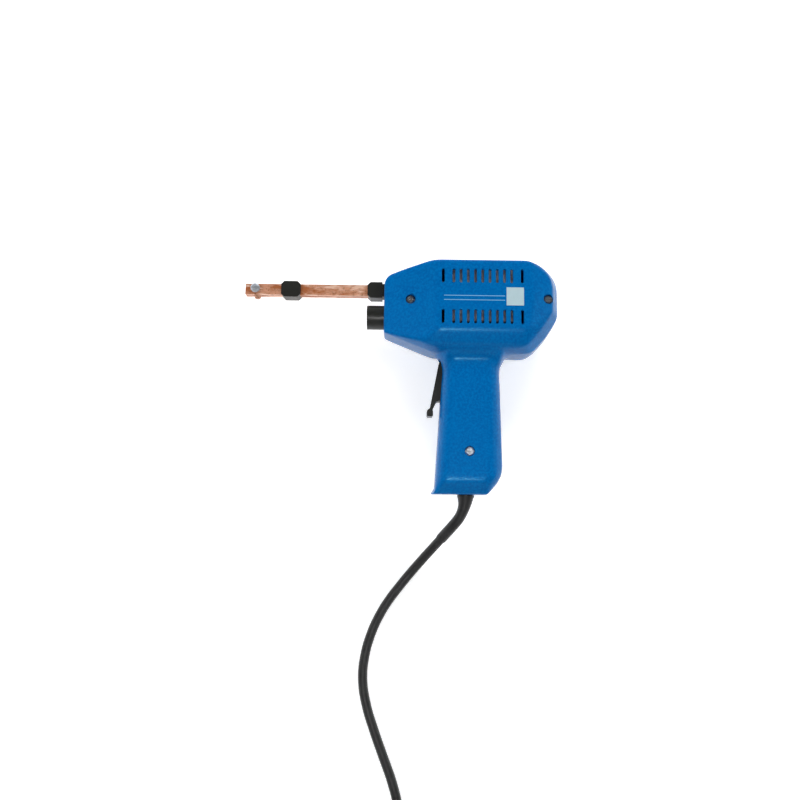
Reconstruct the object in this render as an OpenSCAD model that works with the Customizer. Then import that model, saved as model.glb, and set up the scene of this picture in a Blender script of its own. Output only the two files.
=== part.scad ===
// Instant-heat soldering iron: a pistol-shaped soldering gun lying on its side, with its mains lead.
// Axes: X runs from the copper bars to the rear of the head, Y towards the top of the gun and Z up.

/* [Head] */
// Length of the head from the nose to the rear, at the parting line
head_len = 130.5; // [118:0.5:150]
// Height of the head from its flat top to its belly
head_h = 68.6; // [62:0.5:76]
// Thickness of the head over its two flat sides
head_w = 56; // [54:0.5:70]
// Wall of the two shells
wall = 2.5; // [1.6:0.1:3]
// Thickness of the nose at its front face
nose_w = 24; // [23:0.5:30]
// Depth of the nose face's top corner below the top
nose_drop = 16.4; // [13:0.2:18]
// Depth of the nose face's lower corner below the top
nose_foot = 53.2; // [51.5:0.1:56]
// Distance from the nose to where the head is at its full thickness
taper_len = 40.7; // [36:0.1:44]
// Distance from the nose to the front end of the flat top
shoulder = 35.8; // [28:0.1:40]
// Radius of the upper rear corner
rear_r = 21; // [12:0.5:28]
// Length of the flat side along the gun
plateau_len = 64.7; // [60:0.1:72]
// Height of the flat side
plateau_h = 51.9; // [44:0.1:54]
// Depth of the flat side's lower fold below the top
plateau_foot = 53.4; // [50:0.1:56]
// Draft of each shell from the parting line to the fold
draft = 0.3; // [0.1:0.1:1.2]

/* [Vents] */
// Number of vent slots between the two outer ones of a row
vent_count = 9; // [5:1:9]
// Distance between the slots
vent_pitch = 5.28; // [4:0.02:5.4]
// Width of a slot
vent_w = 2; // [1.2:0.1:2.6]
// Height of a slot
vent_h = 10.4; // [6:0.1:12]
// Depth of the upper row below the top
vent_high = 13.8; // [11:0.1:16]
// Depth of the lower row below the top
vent_low = 44.3; // [42:0.1:47]
// Distance from the nose to the first inner slot
vent_x = 51.1; // [49:0.1:53]
// Distance from an inner row's end slot to the outer slot
vent_outer = 7.7; // [6:0.1:9]

/* [Grip] */
// Length of the grip from the neck's lower fold to its end
grip_len = 99.6; // [92:0.1:112]
// Thickness of the grip over its flat sides
grip_w = 32; // [30:0.5:38]
// Thickness of the grip's end face
grip_end_w = 18; // [17:0.5:24]
// Distance from the nose to the front of the grip, below the neck
grip_front = 44.4; // [43:0.1:46]
// How far the grip's front runs forward at its end
grip_rake = 5.8; // [3:0.1:8]
// Width of the grip from front to rear, below the neck
grip_depth = 42.4; // [38:0.1:46]
// Rounding of the grip's front and rear edges on the flat side
grip_round = 5.6; // [4:0.1:7]
// Height of the slope at the end of the grip's flat side
grip_slope = 8.9; // [7:0.1:11]
// How far the front lip stands out at the end of the grip
lip = 2.6; // [1:0.1:4]
// Depth of the neck's lower fold below the top
neck_foot = 72.7; // [70:0.1:75]

/* [Housing screws] */
// Distance of the front screw behind the nose
front_screw_x = 19.7; // [18.8:0.1:21]
// Distance of the rear screw from the rear of the head
rear_screw_in = 9.8; // [9:0.1:13]
// Depth of the two head screws below the top
head_screw_y = 29.5; // [29.2:0.1:31]
// Distance of the grip's screw behind the grip's front edge at the neck
grip_screw_in = 19.6; // [16:0.1:22]
// Diameter of the screws' thread
screw_d = 3.5; // [2.8:0.1:4]
// Diameter of the screws' heads
screw_head_d = 6.6; // [5.4:0.1:7.4]
// Height of the screws' heads
screw_head_h = 2.4; // [1.6:0.1:3]
// Diameter of the posts that the screws run in
post_d = 10; // [9.2:0.1:10.6]

/* [Label] */
// Side of the blank white patch along the gun
patch_w = 12.6; // [8:0.1:14]
// Height of the blank white patch
patch_h = 13.5; // [8:0.1:16]
// Depth of the patch's middle below the top
patch_y = 29.2; // [27:0.1:31]
// Distance from the nose to the rear edge of the patch
patch_end = 102; // [96:0.1:104]
// Length of the two printed lines
rule_len = 44.4; // [30:0.1:48]
// Thickness of the patch and of the raised print
print_t = 0.3; // [0.2:0.05:0.5]
// Width of a printed line
rule_w = 0.6; // [0.4:0.1:1]
// Distance between the two printed lines
rule_gap = 3.2; // [2:0.1:5]

/* [Copper bars] */
// How far the bars stand out in front of the nose
bar_reach = 106; // [90:0.5:125]
// Height of a bar
bar_h = 8.4; // [6:0.1:8.8]
// Thickness of a bar as a share of the width of the core's middle limb
bar_share = 0.335; // [0.25:0.005:0.36]
// Gap between the two bars outside the head
bar_gap = 1.5; // [1:0.1:2]
// Depth of the bars' axis below the top
bar_y = 18.9; // [18.8:0.1:19.4]
// Distance from the nose to where the bars start to spread
spread_from = 8; // [6:0.5:10]
// Distance from the nose to where the bars run parallel again
spread_to = 42; // [38:0.5:43]

/* [Collars] */
// Distance from the nose to the front collar
collar_from = 63.8; // [40:0.1:76]
// Length of the front collar
collar_len = 14.7; // [8:0.1:16]
// Height of the collars
collar_h = 12.3; // [10.8:0.1:13]
// Depth of the collars across the bars
collar_w = 11; // [9.6:0.1:13]
// Chamfer on the collars' corners
collar_cut = 2.3; // [1:0.1:3]
// Length of the rear collar in front of the nose
rear_collar_len = 12.9; // [9:0.1:14]

/* [Lamp] */
// Diameter of the lamp hood
hood_d = 18.3; // [17:0.1:18.4]
// Length of the lamp hood in front of the nose
hood_len = 12.9; // [11:0.1:16]
// Wall of the lamp hood
hood_wall = 1.4; // [1:0.1:1.6]
// Depth of the hood's axis below the top
hood_y = 39.2; // [39:0.1:41]
// Diameter of the bulb's threaded cap
cap_d = 9.4; // [8.6:0.1:10]
// Length of the bulb's threaded cap
cap_len = 9; // [7:0.1:10]
// Diameter of the bulb's glass
globe_d = 9.2; // [8:0.1:10]

/* [Bit clamp] */
// Distance of the clamp screw behind the bars' front end
bit_screw_in = 7.6; // [6:0.1:9]
// Height of the clamp screw above the bars' axis
bit_screw_up = 0.8; // [0.4:0.1:1.2]
// Diameter of the clamp screw's thread
bit_screw_d = 3.9; // [3:0.1:4]
// Diameter of the clamp screw's head
bit_head_d = 7; // [6:0.1:8]
// Height of the clamp screw's head
bit_head_h = 2.4; // [1.6:0.1:3]
// Width of the clamp nut across its flats
bit_nut_w = 7; // [6:0.1:8]
// Diameter of the bit's shank
bit_d = 4.8; // [4:0.1:5]
// Distance of the bit behind the bars' front end
bit_in = 9; // [8:0.1:11]
// How far the bit stands out below the bars
bit_out = 2.6; // [1:0.1:6]

/* [Trigger] */
// Width of the trigger across the grip
trigger_w = 11; // [9:0.1:12]
// Length of the trigger's lever below its pivot
trigger_len = 36.6; // [33:0.1:39]
// Distance of the pivot behind the grip's front edge
pivot_in = 9.6; // [8.5:0.1:10]
// Depth of the pivot below the top
pivot_y = 78.3; // [77.8:0.1:79]
// Diameter of the trigger's pin
pivot_d = 3; // [2.4:0.1:3.2]
// Diameter of the trigger's hub
hub_d = 8.4; // [7:0.1:8.8]
// Diameter of the switch's plunger
plunger_d = 4; // [3:0.1:4.4]
// Wire of the trigger's spring
spring_wire = 0.6; // [0.4:0.05:0.7]
// Coils of the trigger's spring
spring_coils = 5; // [3:1:6]

/* [Switch] */
// Length of the switch behind its plunger
switch_len = 18; // [14:0.5:19]
// Height of the switch
switch_h = 24; // [20:0.5:25]
// Thickness of the switch
switch_w = 16; // [12:0.5:18]
// Distance from the trigger's arm to the switch
switch_in = 7.5; // [6.5:0.1:8]
// Length of the switch's blade terminals
blade_len = 8; // [6:0.1:9]
// Width of a blade terminal
blade_w = 6.3; // [4:0.1:6.5]
// Thickness of a blade terminal
blade_t = 0.8; // [0.5:0.1:1]

/* [Transformer] */
// Gap between the core and the shells' side walls
core_gap = 0.9; // [0.6:0.1:1.4]
// Length of the stack of laminations along the gun
stack_len = 46; // [40:0.5:48]
// Distance from the nose to the stack
stack_x = 49.3; // [49:0.1:50]
// Wall of the bobbin as a share of the width of the core's middle limb
bobbin_share = 0.1; // [0.075:0.005:0.12]
// Diameter of the four bolts through the laminations
core_bolt_d = 3; // [2.5:0.1:3.4]
// Thickness of the secondary's rear crossbar
crossbar_t = 3.2; // [2.5:0.1:4]

/* [Mains lead] */
// Diameter of the lead
cord_d = 7; // [6:0.1:7]
// Distance of the lead's axis behind the grip's front edge
cord_in = 17.85; // [17.5:0.05:18]
// Diameter of the strain relief where it leaves the grip
relief_d = 12.8; // [11.5:0.1:14]
// Diameter of the strain relief at its end
relief_end_d = 8.6; // [8.4:0.1:10]
// Diameter of the leads inside
lead_d = 2.4; // [1.8:0.1:2.6]
// Whole turns of the put-away length, which ends a sixth of a turn short of the next
coil_loops = 4; // [3:1:6]
// Smallest radius of the coil
coil_r = 28; // [28:0.5:34]
// Room between two turns of the coil
coil_gap = 0.6; // [0.5:0.1:1]

/* [Plug] */
// Width of the plug's body
plug_w = 35.3; // [34:0.1:37]
// Thickness of the plug's body
plug_t = 13.7; // [13:0.1:14.5]
// Length of the plug's body
plug_len = 36; // [30:0.5:42]
// Length of the plug's sleeve on the lead
plug_tail = 14; // [12:0.5:18]
// Diameter of the pins
pin_d = 4; // [3.9:0.1:4.1]
// Length of the pins
pin_len = 19; // [18:0.1:20]
// Distance between the pins' axes
pin_pitch = 18.6; // [17.5:0.1:19.2]
// Length of the pins' insulating sleeves
pin_sleeve = 10; // [8:0.1:11]

/* [Hidden] */
$fn = 48;

// Clearances
fit = 0.1;
slack = 0.2;
running = 0.3;
cut = 1;
skin = 0.01;

// Place of the gun's own frame: the nose on the parting plane, level with the flat top
half_w = head_w / 2;
// Half width of the core's middle limb, which is also the width of a window
limb = (half_w - wall - core_gap) / 3;
bar_t = limb * bar_share;
bobbin_wall = limb * bobbin_share;
gun_h = neck_foot + grip_len;
nose_at = [(bar_reach - head_len) / 2, gun_h / 2, half_w];

// Outline of the head
fold_z = half_w * 0.82;
rear_draft = 1;
rear_in = 6.5;
low_rx = 25;
low_ry = 28.6;
// Points of the lower rear corner as shares of its two sizes, from the belly to the rear
low_shares = [[1, 0], [0.84, 0.025], [0.716, 0.091], [0.54, 0.259], [0.356, 0.455], [0.172, 0.703],
              [0.048, 0.888], [0, 1]];
foot_draft = 3.3;
nose_corner = [8, 7.6];
belly_x = 38;
plateau_top = plateau_foot - plateau_h;
plateau_end = taper_len + plateau_len;

// Grip
grip_rear = grip_front + grip_depth;
grip_end_front = grip_front - grip_rake;
grip_half = grip_w / 2;
grip_drop = 2.1;
grip_top = neck_foot + grip_drop;
grip_out = 2.2;
grip_draft = 0.3;
lip_h = 4.2;
side_in = 1;
grip_side_z = grip_half * 0.62;
// Distances of the heel's corners from the grip's rear line and above its end
grip_heel = [[9.3, 0], [2, 8], [0.64 * -grip_out, 14.3], [-grip_out, 20]];
neck_front = 38.6;
neck_rear = 94;
neck_flare = [52, 91];
neck_in = 3;
neck_draft = 4;
neck_lap = 5;
fold_lap = 1;

// Trigger and switch
pivot = [grip_front + pivot_in, -pivot_y];
arm_in = 1.5;
arm_x = pivot.x - arm_in;
arm_len = 16;
plunger_y = pivot.y - arm_len;
plunger_gap = 0.4;
plunger_in = 6;
plunger_down = 10;
switch_x = arm_x + switch_in;
switch_top = plunger_y + plunger_down;
trigger_slot = trigger_w + 2 * running;
// Lever, knob, skirt and stop lip as shares of the lever's length, from the top of the lever downwards
trigger_lever_shares = [[-0.284, 0.15], [-0.335, 0.101], [-0.351, 0.016], [-0.512, -0.833],
    [-0.553, -0.863], [-0.572, -0.891], [-0.572, -0.984], [-0.553, -1], [-0.465, -1], [-0.447, -0.978],
    [-0.447, -0.902], [-0.456, -0.861], [-0.383, -0.699], [-0.345, -0.682], [-0.24, -0.682],
    [-0.214, -0.7], [-0.214, -0.82], [-0.15, -0.82], [-0.14, -0.69]];
plunger_travel = 1.7;
spring_gap = 0.9;
spring_r = plunger_d / 2 + spring_gap;
blade_shares = [0.25, 0.61];
blade_x = [for (s = blade_shares) switch_x + switch_len * s];
blade_foot = switch_top - switch_h - blade_len;
boss_wall = 2;
boss_d = pivot_d + 2 * boss_wall;
pin_over = 6.5;
pin_half = trigger_w / 2 + pin_over;

// Housing screws
front_post = [front_screw_x, -head_screw_y];
rear_post = [head_len - rear_screw_in, -head_screw_y];
// Room below the switch's blades, and the places of the grip's screw, the clamp and the sheath's end in it
base_room = gun_h + blade_foot;
grip_screw_share = 0.557;
clamp_share = 0.236;
sheath_share = 0.37;
grip_post = [grip_front + grip_screw_in, base_room * grip_screw_share - gun_h];
posts = [front_post, rear_post, grip_post];
seat_over = 3.4;
seat_in = 8;
grip_seat_in = 2.8;
seat_z = [nose_w / 2 + seat_over, half_w - seat_in, grip_half - grip_seat_in];
post_size = [post_d, post_d, post_d * 0.9];
screw_grip = 10;
screw_hole = screw_d + 2 * slack;
pilot = screw_d + fit;
head_hole = screw_head_d + 2 * running;
slot_w = 1;
slot_depth = 0.9;
bolt_end = 1;

// Ribs inside the shells
rib_w = 2;
rib_in = 1;
rib_reach = 5.6;
rib_z = 5;
slot_reach = 3;
slot_up = 6.8;
slot_down = 27.7;

// Label, collars and lamp
rule_in = 1;
collar_back = 1.6;
neck_skin = 0.7;
collar_neck_h = bar_h + 2 * neck_skin;
collar_neck_w = bar_gap + 2 * bar_t + 4 * neck_skin;
collar_flange = 1;
collar_flange_t = 1.8;
hood_back = 6;
hood_flange = 1.1;
hood_flange_t = 1.9;
lens_in = 1.2;
lens_t = 1.8;
cap_x = 0.5;
socket_in = 1;
globe_x = cap_x - globe_d / 2;

// Copper
bar_half = bar_gap / 2 + bar_t;
bit_screw_x = bit_screw_in - bar_reach;
bit_screw_y = bit_screw_up - bar_y;
bit_nut_t = 3.2;
bit_x = bit_in - bar_reach;
bit_top = bit_screw_y - bit_screw_d / 2 - running;
bar_out_gap = limb / 8;
bar_in_gap = limb / 25;
window_z = 2 * limb - bar_out_gap - bar_t / 2;
spread_angle = atan((window_z + bar_t / 2 - bar_half) / (spread_to - spread_from));
miter = bar_t * tan(spread_angle / 2);
core_end = stack_x + stack_len;
coil_over = window_z - bar_t / 2 - bar_in_gap - limb;
crossbar_gap = 4.4;
crossbar_x = core_end + coil_over + crossbar_gap;

// Core heights
bar_room = 0.5;
core_y = bar_y - bar_h / 2 - bar_room - limb;
core_top = -core_y;
window_top = core_top - limb;
window_foot = window_top - 3 * limb;
core_foot = window_foot - limb;
bolt_y = [core_top - limb / 2, core_foot + limb / 2];
bolt_z = 2.5 * limb;
core_nut_t = 2.4;

// Mains lead inside the grip
cord_r = cord_d / 2;
cord_x = grip_front + cord_in;
grip_end = -gun_h;
relief_hole = 11;
relief_neck = relief_hole - 2 * slack;
relief_flange = 14.4;
flange_t = 2.2;
flange_up = wall + slack + grip_draft;
sheath_top = grip_end + base_room * sheath_share;
clamp_y = grip_end + base_room * clamp_share;
clamp_len = 21;
clamp_h = 6;
clamp_t = 3;
clamp_screw_d = 2.9;
clamp_pitch = 15;
clamp_post_d = 6;

// Mains lead outside, in the frame of the whole part
cord_route = [[50, -81.5, 28], [50, -87, 28], [49.5, -92.2, 27.7], [48.1, -97.5, 26.9], [45.9, -102.3, 25.3],
              [42.8, -106.7, 23.3], [37.6, -112.8, 19.9], [32.2, -119.1, 16.4], [26.8, -125.4, 12.9],
              [21.8, -131.2, 9.7], [16.2, -137.8, 6.9], [9.8, -145.4, 4.8], [2.5, -154.5, 3.7],
              [-5.5, -165, 3.5], [-12.5, -176.5, 3.5], [-18.5, -190, 3.5], [-22.6, -205, 3.5],
              [-24, -222, 3.5], [-21, -240, 3.5], [-15, -258, 3.5], [-8, -276, 3.5], [-1, -294, 3.5],
              [4, -312, 3.5], [7, -330, 3.8], [8, -348, 4.2], [8, -365, 4.2]];
relief_steps = 6;
relief_shares = [1, 0.9, 0.35, 0.14, 0.08, 0.04, 0];
coil_turns = coil_loops + 5 / 6;
coil_step = cord_d + coil_gap;
coil_out = coil_r + coil_step * coil_turns / 2;
coil_from = cord_route[len(cord_route) - 1];
coil_at = [coil_from.x + coil_out, coil_from.y - cord_d];
coil_z = coil_from.z;
coil_rings = 24;
tie_t = coil_z - cord_r - running;
tie_w = 9;
tie_room = 0.9;
coil_end = 180 + 360 * coil_turns;
tail_dir = [cos(coil_end + 90), sin(coil_end + 90)];
tail_from = [coil_at.x + coil_out * cos(coil_end), coil_at.y + coil_out * sin(coil_end)];
// Distance along the tail and height of its points
tail_points = [[7, 11.8], [16, 11.8], [28, 11.8], [38, 11.2], [48, 9.2], [58, 7.4], [66, 6.85], [73, 6.85]];
plug_from = tail_points[len(tail_points) - 1].x;
plug_z = plug_t / 2;
plug_corner = 3;
tail_lip = 1;
pin_core = pin_d * 0.75;
pin_root = 8;
lead_r = lead_d / 2;

// Small functions
function unit(v) = v / norm(v);
function arc(centre, rx, ry, from, to, steps) =
    [for (k = [0:steps]) let(a = from + (to - from) * k / steps)
        [centre.x + rx * cos(a), centre.y + ry * sin(a)]];
function left_of(a, b) = let(d = unit(b - a)) [-d.y, d.x];
// Outline moved inwards by w, for points that run counterclockwise
function inset(points, w) = let(n = len(points))
    [for (i = [0:n - 1]) let(before = left_of(points[(i + n - 1) % n], points[i]),
                             after = left_of(points[i], points[(i + 1) % n]))
        points[i] + w * (before + after) / (1 + before * after)];

// Tubes along a list of points
function along(p, i) = unit(p[min(i + 1, len(p) - 1)] - p[max(i - 1, 0)]);
function ring(c, t, r, sides, side) = let(u = unit(cross(t, side)), w = cross(u, t))
    [for (k = [0:sides - 1]) c + r * (cos(360 * k / sides) * u + sin(360 * k / sides) * w)];
function skin_faces(rings, sides) =
    [for (i = [0:rings - 2]) for (k = [0:sides - 1])
        let(a = i * sides + k, b = i * sides + (k + 1) % sides)
        each [[a, b, a + sides], [b, b + sides, a + sides]]];
function cap_faces(first, sides, turned) =
    [for (k = [1:sides - 2])
        turned ? [first, first + k + 1, first + k] : [first, first + k, first + k + 1]];

module tube(path, radii, sides, side = [0, 0, 1]) {
    n = len(path);
    polyhedron(
        points = [for (i = [0:n - 1]) each ring(path[i], along(path, i), radii[i], sides, side)],
        faces = concat(skin_faces(n, sides), cap_faces(0, sides, true),
                       cap_faces((n - 1) * sides, sides, false)));
}

function same(path, r) = [for (p = path) r];

// Everything on the gun is drawn from the nose and moved to its place here
module on_gun() {
    translate(nose_at) children();
}

module slice(points, z) {
    translate([0, 0, z]) linear_extrude(height = skin) polygon(points);
}

// Outline of the head at one level, counterclockwise from the nose's lower corner
function head_outline(front, rear, top, foot) =
    let(low_at = -nose_foot + (foot + nose_foot) * front / belly_x,
        rise = (nose_corner.y - top) / (shoulder - nose_corner.x),
        high_at = -nose_corner.y + rise * (front - nose_corner.x))
    concat([[front, low_at], [belly_x, foot]],
           [for (s = low_shares) [rear - low_rx * s.x, foot + low_ry * s.y]],
           arc([rear - rear_r, -top - rear_r], rear_r, rear_r, 0, 90, 7),
           [[shoulder, -top]],
           front > nose_corner.x ? [[front, high_at]]
               : arc([nose_corner.x, -nose_drop], nose_corner.x - front, nose_drop - nose_corner.y,
                     90, 180, 4));

// One half of the head above the parting plane, w smaller all round
module head_half(w) {
    nose_z = nose_w / 2;
    fold_x = taper_len * (fold_z - nose_z) / (half_w - nose_z);
    face = [[taper_len, -plateau_foot], [plateau_end, -plateau_foot],
            [plateau_end + rear_in / 2, -plateau_foot / 2], [plateau_end, -plateau_top],
            [taper_len, -plateau_top]];
    hull() {
        slice(inset(head_outline(0, head_len, 0, -head_h), w), w > 0 ? -skin : 0);
        slice(inset(head_outline(0, head_len - rear_draft, draft / 2, draft / 2 - head_h), w),
              nose_z - w / 2);
        slice(inset(head_outline(fold_x, head_len - rear_in, draft, foot_draft - head_h), w),
              fold_z - w / 2);
        slice(inset(face, w / 2), half_w - w - (w > 0 ? 0 : skin));
    }
}

// A block's outline between two lengths and two heights
function span(x0, x1, y0, y1) = [[x0, y0], [x1, y0], [x1, y1], [x0, y1]];

// One half of the neck, from the head's flat side down to the grip
module neck_half(w) {
    root = -head_h + neck_in;
    foot = -grip_top - neck_lap;
    inner = neck_draft + w;
    edge = grip_round + w / 2;
    low = -w / 4;
    hull() {
        slice([[neck_front + w, root], [neck_rear - w, root], [grip_rear - w, foot],
               [grip_front + w, foot]],
              w > 0 ? -skin : 0);
        slice([[neck_front + inner, root + rib_in], [neck_rear - inner, root + rib_in],
               [grip_rear - grip_out / 2 - w, foot], [grip_front + grip_out / 2 + w, foot]],
              grip_side_z - w / 2);
        slice(span(grip_front + edge, grip_rear - edge, low - neck_foot, fold_lap - neck_foot),
              grip_half - w - (w > 0 ? 0 : skin));
        slice(span(neck_flare[0] + w / 2, neck_flare[1] - w / 2, low - plateau_foot,
                   fold_lap - plateau_foot),
              half_w - w - (w > 0 ? 0 : skin));
    }
}

grip_outline = concat([[grip_front, -grip_top], [grip_end_front, -gun_h]],
                      [for (p = grip_heel) [grip_rear - p.x, -gun_h + p.y]], [[grip_rear, -grip_top]]);

function grip_side(w) = let(edge = grip_round + w / 2, end = -gun_h + grip_slope + w)
    [[grip_front + edge, -neck_foot], [grip_end_front + edge, end],
     [grip_rear - grip_heel[0].x - side_in - w / 2, end],
     [grip_rear - edge + side_in, -gun_h + grip_heel[2].y], [grip_rear - edge, -neck_foot]];

// One half of the grip, w smaller all round
module grip_half_body(w) {
    hull() {
        slice(inset(grip_outline, w), w > 0 ? -skin : 0);
        slice(inset(grip_outline, w + grip_draft), grip_end_w / 2 - w * 0.7);
        slice(grip_side(w), grip_half - w - (w > 0 ? 0 : skin));
    }
}

// One half of the lip at the front of the grip's end
module lip_half() {
    hull() {
        slice([[grip_end_front - lip, -gun_h], [grip_end_front + lip, -gun_h],
               [grip_end_front + lip, lip_h - gun_h], [grip_end_front, lip_h - gun_h]], 0);
        slice([[grip_end_front - lip / 3, grip_draft - gun_h], [grip_end_front + lip, grip_draft - gun_h],
               [grip_end_front + lip, lip_h / 2 - gun_h], [grip_end_front + grip_draft, lip_h / 2 - gun_h]],
              grip_end_w / 2);
    }
}

module outside() {
    head_half(0);
    neck_half(0);
    grip_half_body(0);
    lip_half();
}

module inside() {
    head_half(wall);
    neck_half(wall);
    grip_half_body(wall);
}
// Supports inside one half: posts, bosses and ribs, longer than they need to be
module supports(far) {
    for (i = [0:2])
        translate([posts[i].x, posts[i].y, -cut]) cylinder(d = post_size[i], h = half_w + cut);
    translate([pivot.x, pivot.y, trigger_w / 2 + running]) cylinder(d = boss_d, h = half_w);
    core_ribs();
    switch_ribs();
    relief_rib();
    if (far) clamp_posts();
}

module core_ribs() {
    side = 3 * limb + slack;
    translate([stack_x + rib_w, core_foot - running - rib_w, side - rib_reach])
        cube([stack_len - 2 * rib_w, rib_w, half_w]);
    translate([stack_x + rib_w, core_top + running, side - rib_reach])
        cube([stack_len - 2 * rib_w, core_y, half_w]);
    translate([stack_x + rib_w, -patch_y - rib_w / 2, side])
        cube([stack_len - 2 * rib_w, rib_w, half_w]);
    for (x = [stack_x - running - rib_w, core_end + running])
        translate([x, -patch_y - limb / 2, side - rib_w]) cube([rib_w, limb, half_w]);
}

module switch_ribs() {
    for (y = [switch_top - 2 * rib_w, switch_top - switch_h + rib_w])
        translate([switch_x + rib_in, y, switch_w / 2 + running])
            cube([switch_len - 2 * rib_in, rib_w, half_w]);
    for (y = [switch_top + running, switch_top - switch_h - running - rib_w])
        translate([switch_x + 2 * rib_in, y, rib_z]) cube([switch_len - 4 * rib_in, rib_w, half_w]);
    translate([switch_x + switch_len + running, switch_top - switch_h + 3 * rib_in, rib_z])
        cube([rib_w, switch_h - 6 * rib_in, half_w]);
}

module relief_rib() {
    translate([cord_x - relief_flange / 2 - rib_in, grip_end + flange_up + flange_t + running,
               cord_r + rib_w / 2])
        cube([relief_flange + 2 * rib_in, rib_w, half_w]);
}

module clamp_posts() {
    for (side = [-1, 1])
        translate([cord_x + side * clamp_pitch / 2, clamp_y, -cut]) cylinder(d = clamp_post_d, h = half_w);
    translate([cord_x - clamp_len / 2, clamp_y - clamp_h / 2, cord_r + slack])
        cube([clamp_len, clamp_h, half_w]);
}

module vent(x, y) {
    depth = wall + 2 * cut;
    translate([x, y, half_w - depth + cut]) {
        translate([-vent_w / 2, (vent_w - vent_h) / 2, 0]) cube([vent_w, vent_h - vent_w, depth]);
        for (end = [-1, 1])
            translate([0, end * (vent_h - vent_w) / 2, 0]) cylinder(d = vent_w, h = depth);
    }
}

module vents() {
    vent_end = vent_x + (vent_count - 1) * vent_pitch;
    for (y = [-vent_high, -vent_low]) {
        for (i = [0:vent_count - 1]) vent(vent_x + i * vent_pitch, y);
        for (x = [vent_x - vent_outer, vent_end + vent_outer]) vent(x, y);
    }
}

// Openings that both halves share
module openings() {
    vents();
    translate([-cut, -bar_y - collar_neck_h / 2 - slack, -cut])
        cube([wall + 5 * cut, collar_neck_h + 2 * slack, collar_neck_w / 2 + slack + cut]);
    translate([-cut, -hood_y, 0]) rotate([0, 90, 0]) cylinder(d = hood_d + 2 * slack, h = wall + 2 * cut);
    translate([grip_front - 2 * slot_reach, pivot.y - slot_down, -cut])
        cube([3 * slot_reach, slot_up + slot_down, trigger_slot / 2 + cut]);
    translate([cord_x, grip_end - cut, 0])
        rotate([-90, 0, 0]) cylinder(d = relief_hole, h = wall + 2 * cut);
    translate([pivot.x, pivot.y, -cut]) cylinder(d = pivot_d + fit, h = pin_half + slack + cut);
}

module half_shell(far) {
    difference() {
        outside();
        difference() {
            inside();
            supports(far);
        }
        openings();
        for (i = [0:2]) translate([posts[i].x, posts[i].y, 0]) {
            if (far) translate([0, 0, -cut]) cylinder(d = pilot, h = screw_grip + bolt_end + cut);
            else {
                translate([0, 0, -cut]) cylinder(d = screw_hole, h = half_w);
                translate([0, 0, seat_z[i]]) cylinder(d = head_hole, h = half_w);
            }
        }
        if (far) for (side = [-1, 1])
            translate([cord_x + side * clamp_pitch / 2, clamp_y, -cut])
                cylinder(d = clamp_screw_d + fit, h = screw_grip + cut);
    }
}

module near_shell() {
    color("#0067b0") on_gun() half_shell(false);
}

module far_shell() {
    color("#0067b0") on_gun() mirror([0, 0, 1]) half_shell(true);
}

// A round-headed screw with a slot, its seat at z = 0 and its thread downwards
module screw(d, length, head_d, head_h) {
    difference() {
        union() {
            translate([0, 0, -length]) cylinder(d = d, h = length);
            cylinder(d = head_d, h = head_h * 0.6);
            translate([0, 0, head_h * 0.6]) cylinder(d1 = head_d, d2 = head_d * 0.7, h = head_h * 0.4);
        }
        translate([-head_d, -slot_w / 2, head_h - slot_depth]) cube([2 * head_d, slot_w, head_h]);
    }
}

module housing_screw(i) {
    translate([posts[i].x, posts[i].y, seat_z[i]])
        screw(screw_d, seat_z[i] + screw_grip, screw_head_d, screw_head_h);
}

module head_screws() {
    color("#3a3a3c") on_gun() {
        housing_screw(0);
        housing_screw(1);
    }
}

module grip_screw() {
    color("#b9b9b6") on_gun() housing_screw(2);
}

module label_patch() {
    color("#e9ecec") on_gun() translate([patch_end - patch_w, -patch_y - patch_h / 2, half_w])
        cube([patch_w, patch_h, print_t]);
}

module label_rules() {
    color("#7fb2dd") on_gun() for (side = [0, 1])
        translate([patch_end - patch_w - rule_in - rule_len, -patch_y - side * rule_gap, half_w])
            cube([rule_len, rule_w, print_t / 2]);
}

// The secondary: two bars that are one bent piece, closed by the crossbar behind the core
module secondary_bar() {
    outer = window_z + bar_t / 2;
    inner = outer - bar_t;
    side = [[-bar_reach, bar_half], [spread_from, bar_half], [spread_to, outer],
            [crossbar_x + crossbar_t, outer]];
    hollow = [[crossbar_x, inner], [spread_to - miter, inner], [spread_from + miter, bar_gap / 2],
              [-bar_reach - cut, bar_gap / 2]];
    color("#c0764f") on_gun() difference() {
        translate([0, -bar_y + bar_h / 2, 0]) rotate([90, 0, 0]) linear_extrude(height = bar_h)
            difference() {
                polygon(concat(side, [for (i = [3:-1:0]) [side[i].x, -side[i].y]]));
                polygon(concat(hollow, [for (i = [3:-1:0]) [hollow[i].x, -hollow[i].y]]));
            }
        translate([bit_screw_x, bit_screw_y, -half_w]) cylinder(d = bit_screw_d + fit, h = head_w);
        translate([bit_x, bit_top + slack, 0]) rotate([90, 0, 0]) cylinder(d = bit_d + fit, h = bar_h);
    }
}

module collar_outline(from, length, cut_rear) {
    h = collar_h / 2;
    c = collar_cut;
    r = cut_rear ? collar_cut : 0;
    polygon([[from - length + c, -h], [from - r, -h], [from, -h + r], [from, h - r], [from - r, h],
             [from - length + c, h], [from - length, h - c], [from - length, -h + c]]);
}

module bar_hole(from, length) {
    translate([from - length - cut, -bar_h / 2 - slack, -bar_half - slack])
        cube([length + 2 * cut, bar_h + 2 * slack, 2 * (bar_half + slack)]);
}

module collar_front() {
    color("#2b2c2b") on_gun() translate([0, -bar_y, 0]) difference() {
        translate([0, 0, -collar_w / 2]) linear_extrude(height = collar_w)
            collar_outline(-collar_from, collar_len, true);
        bar_hole(-collar_from, collar_len);
    }
}

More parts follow.
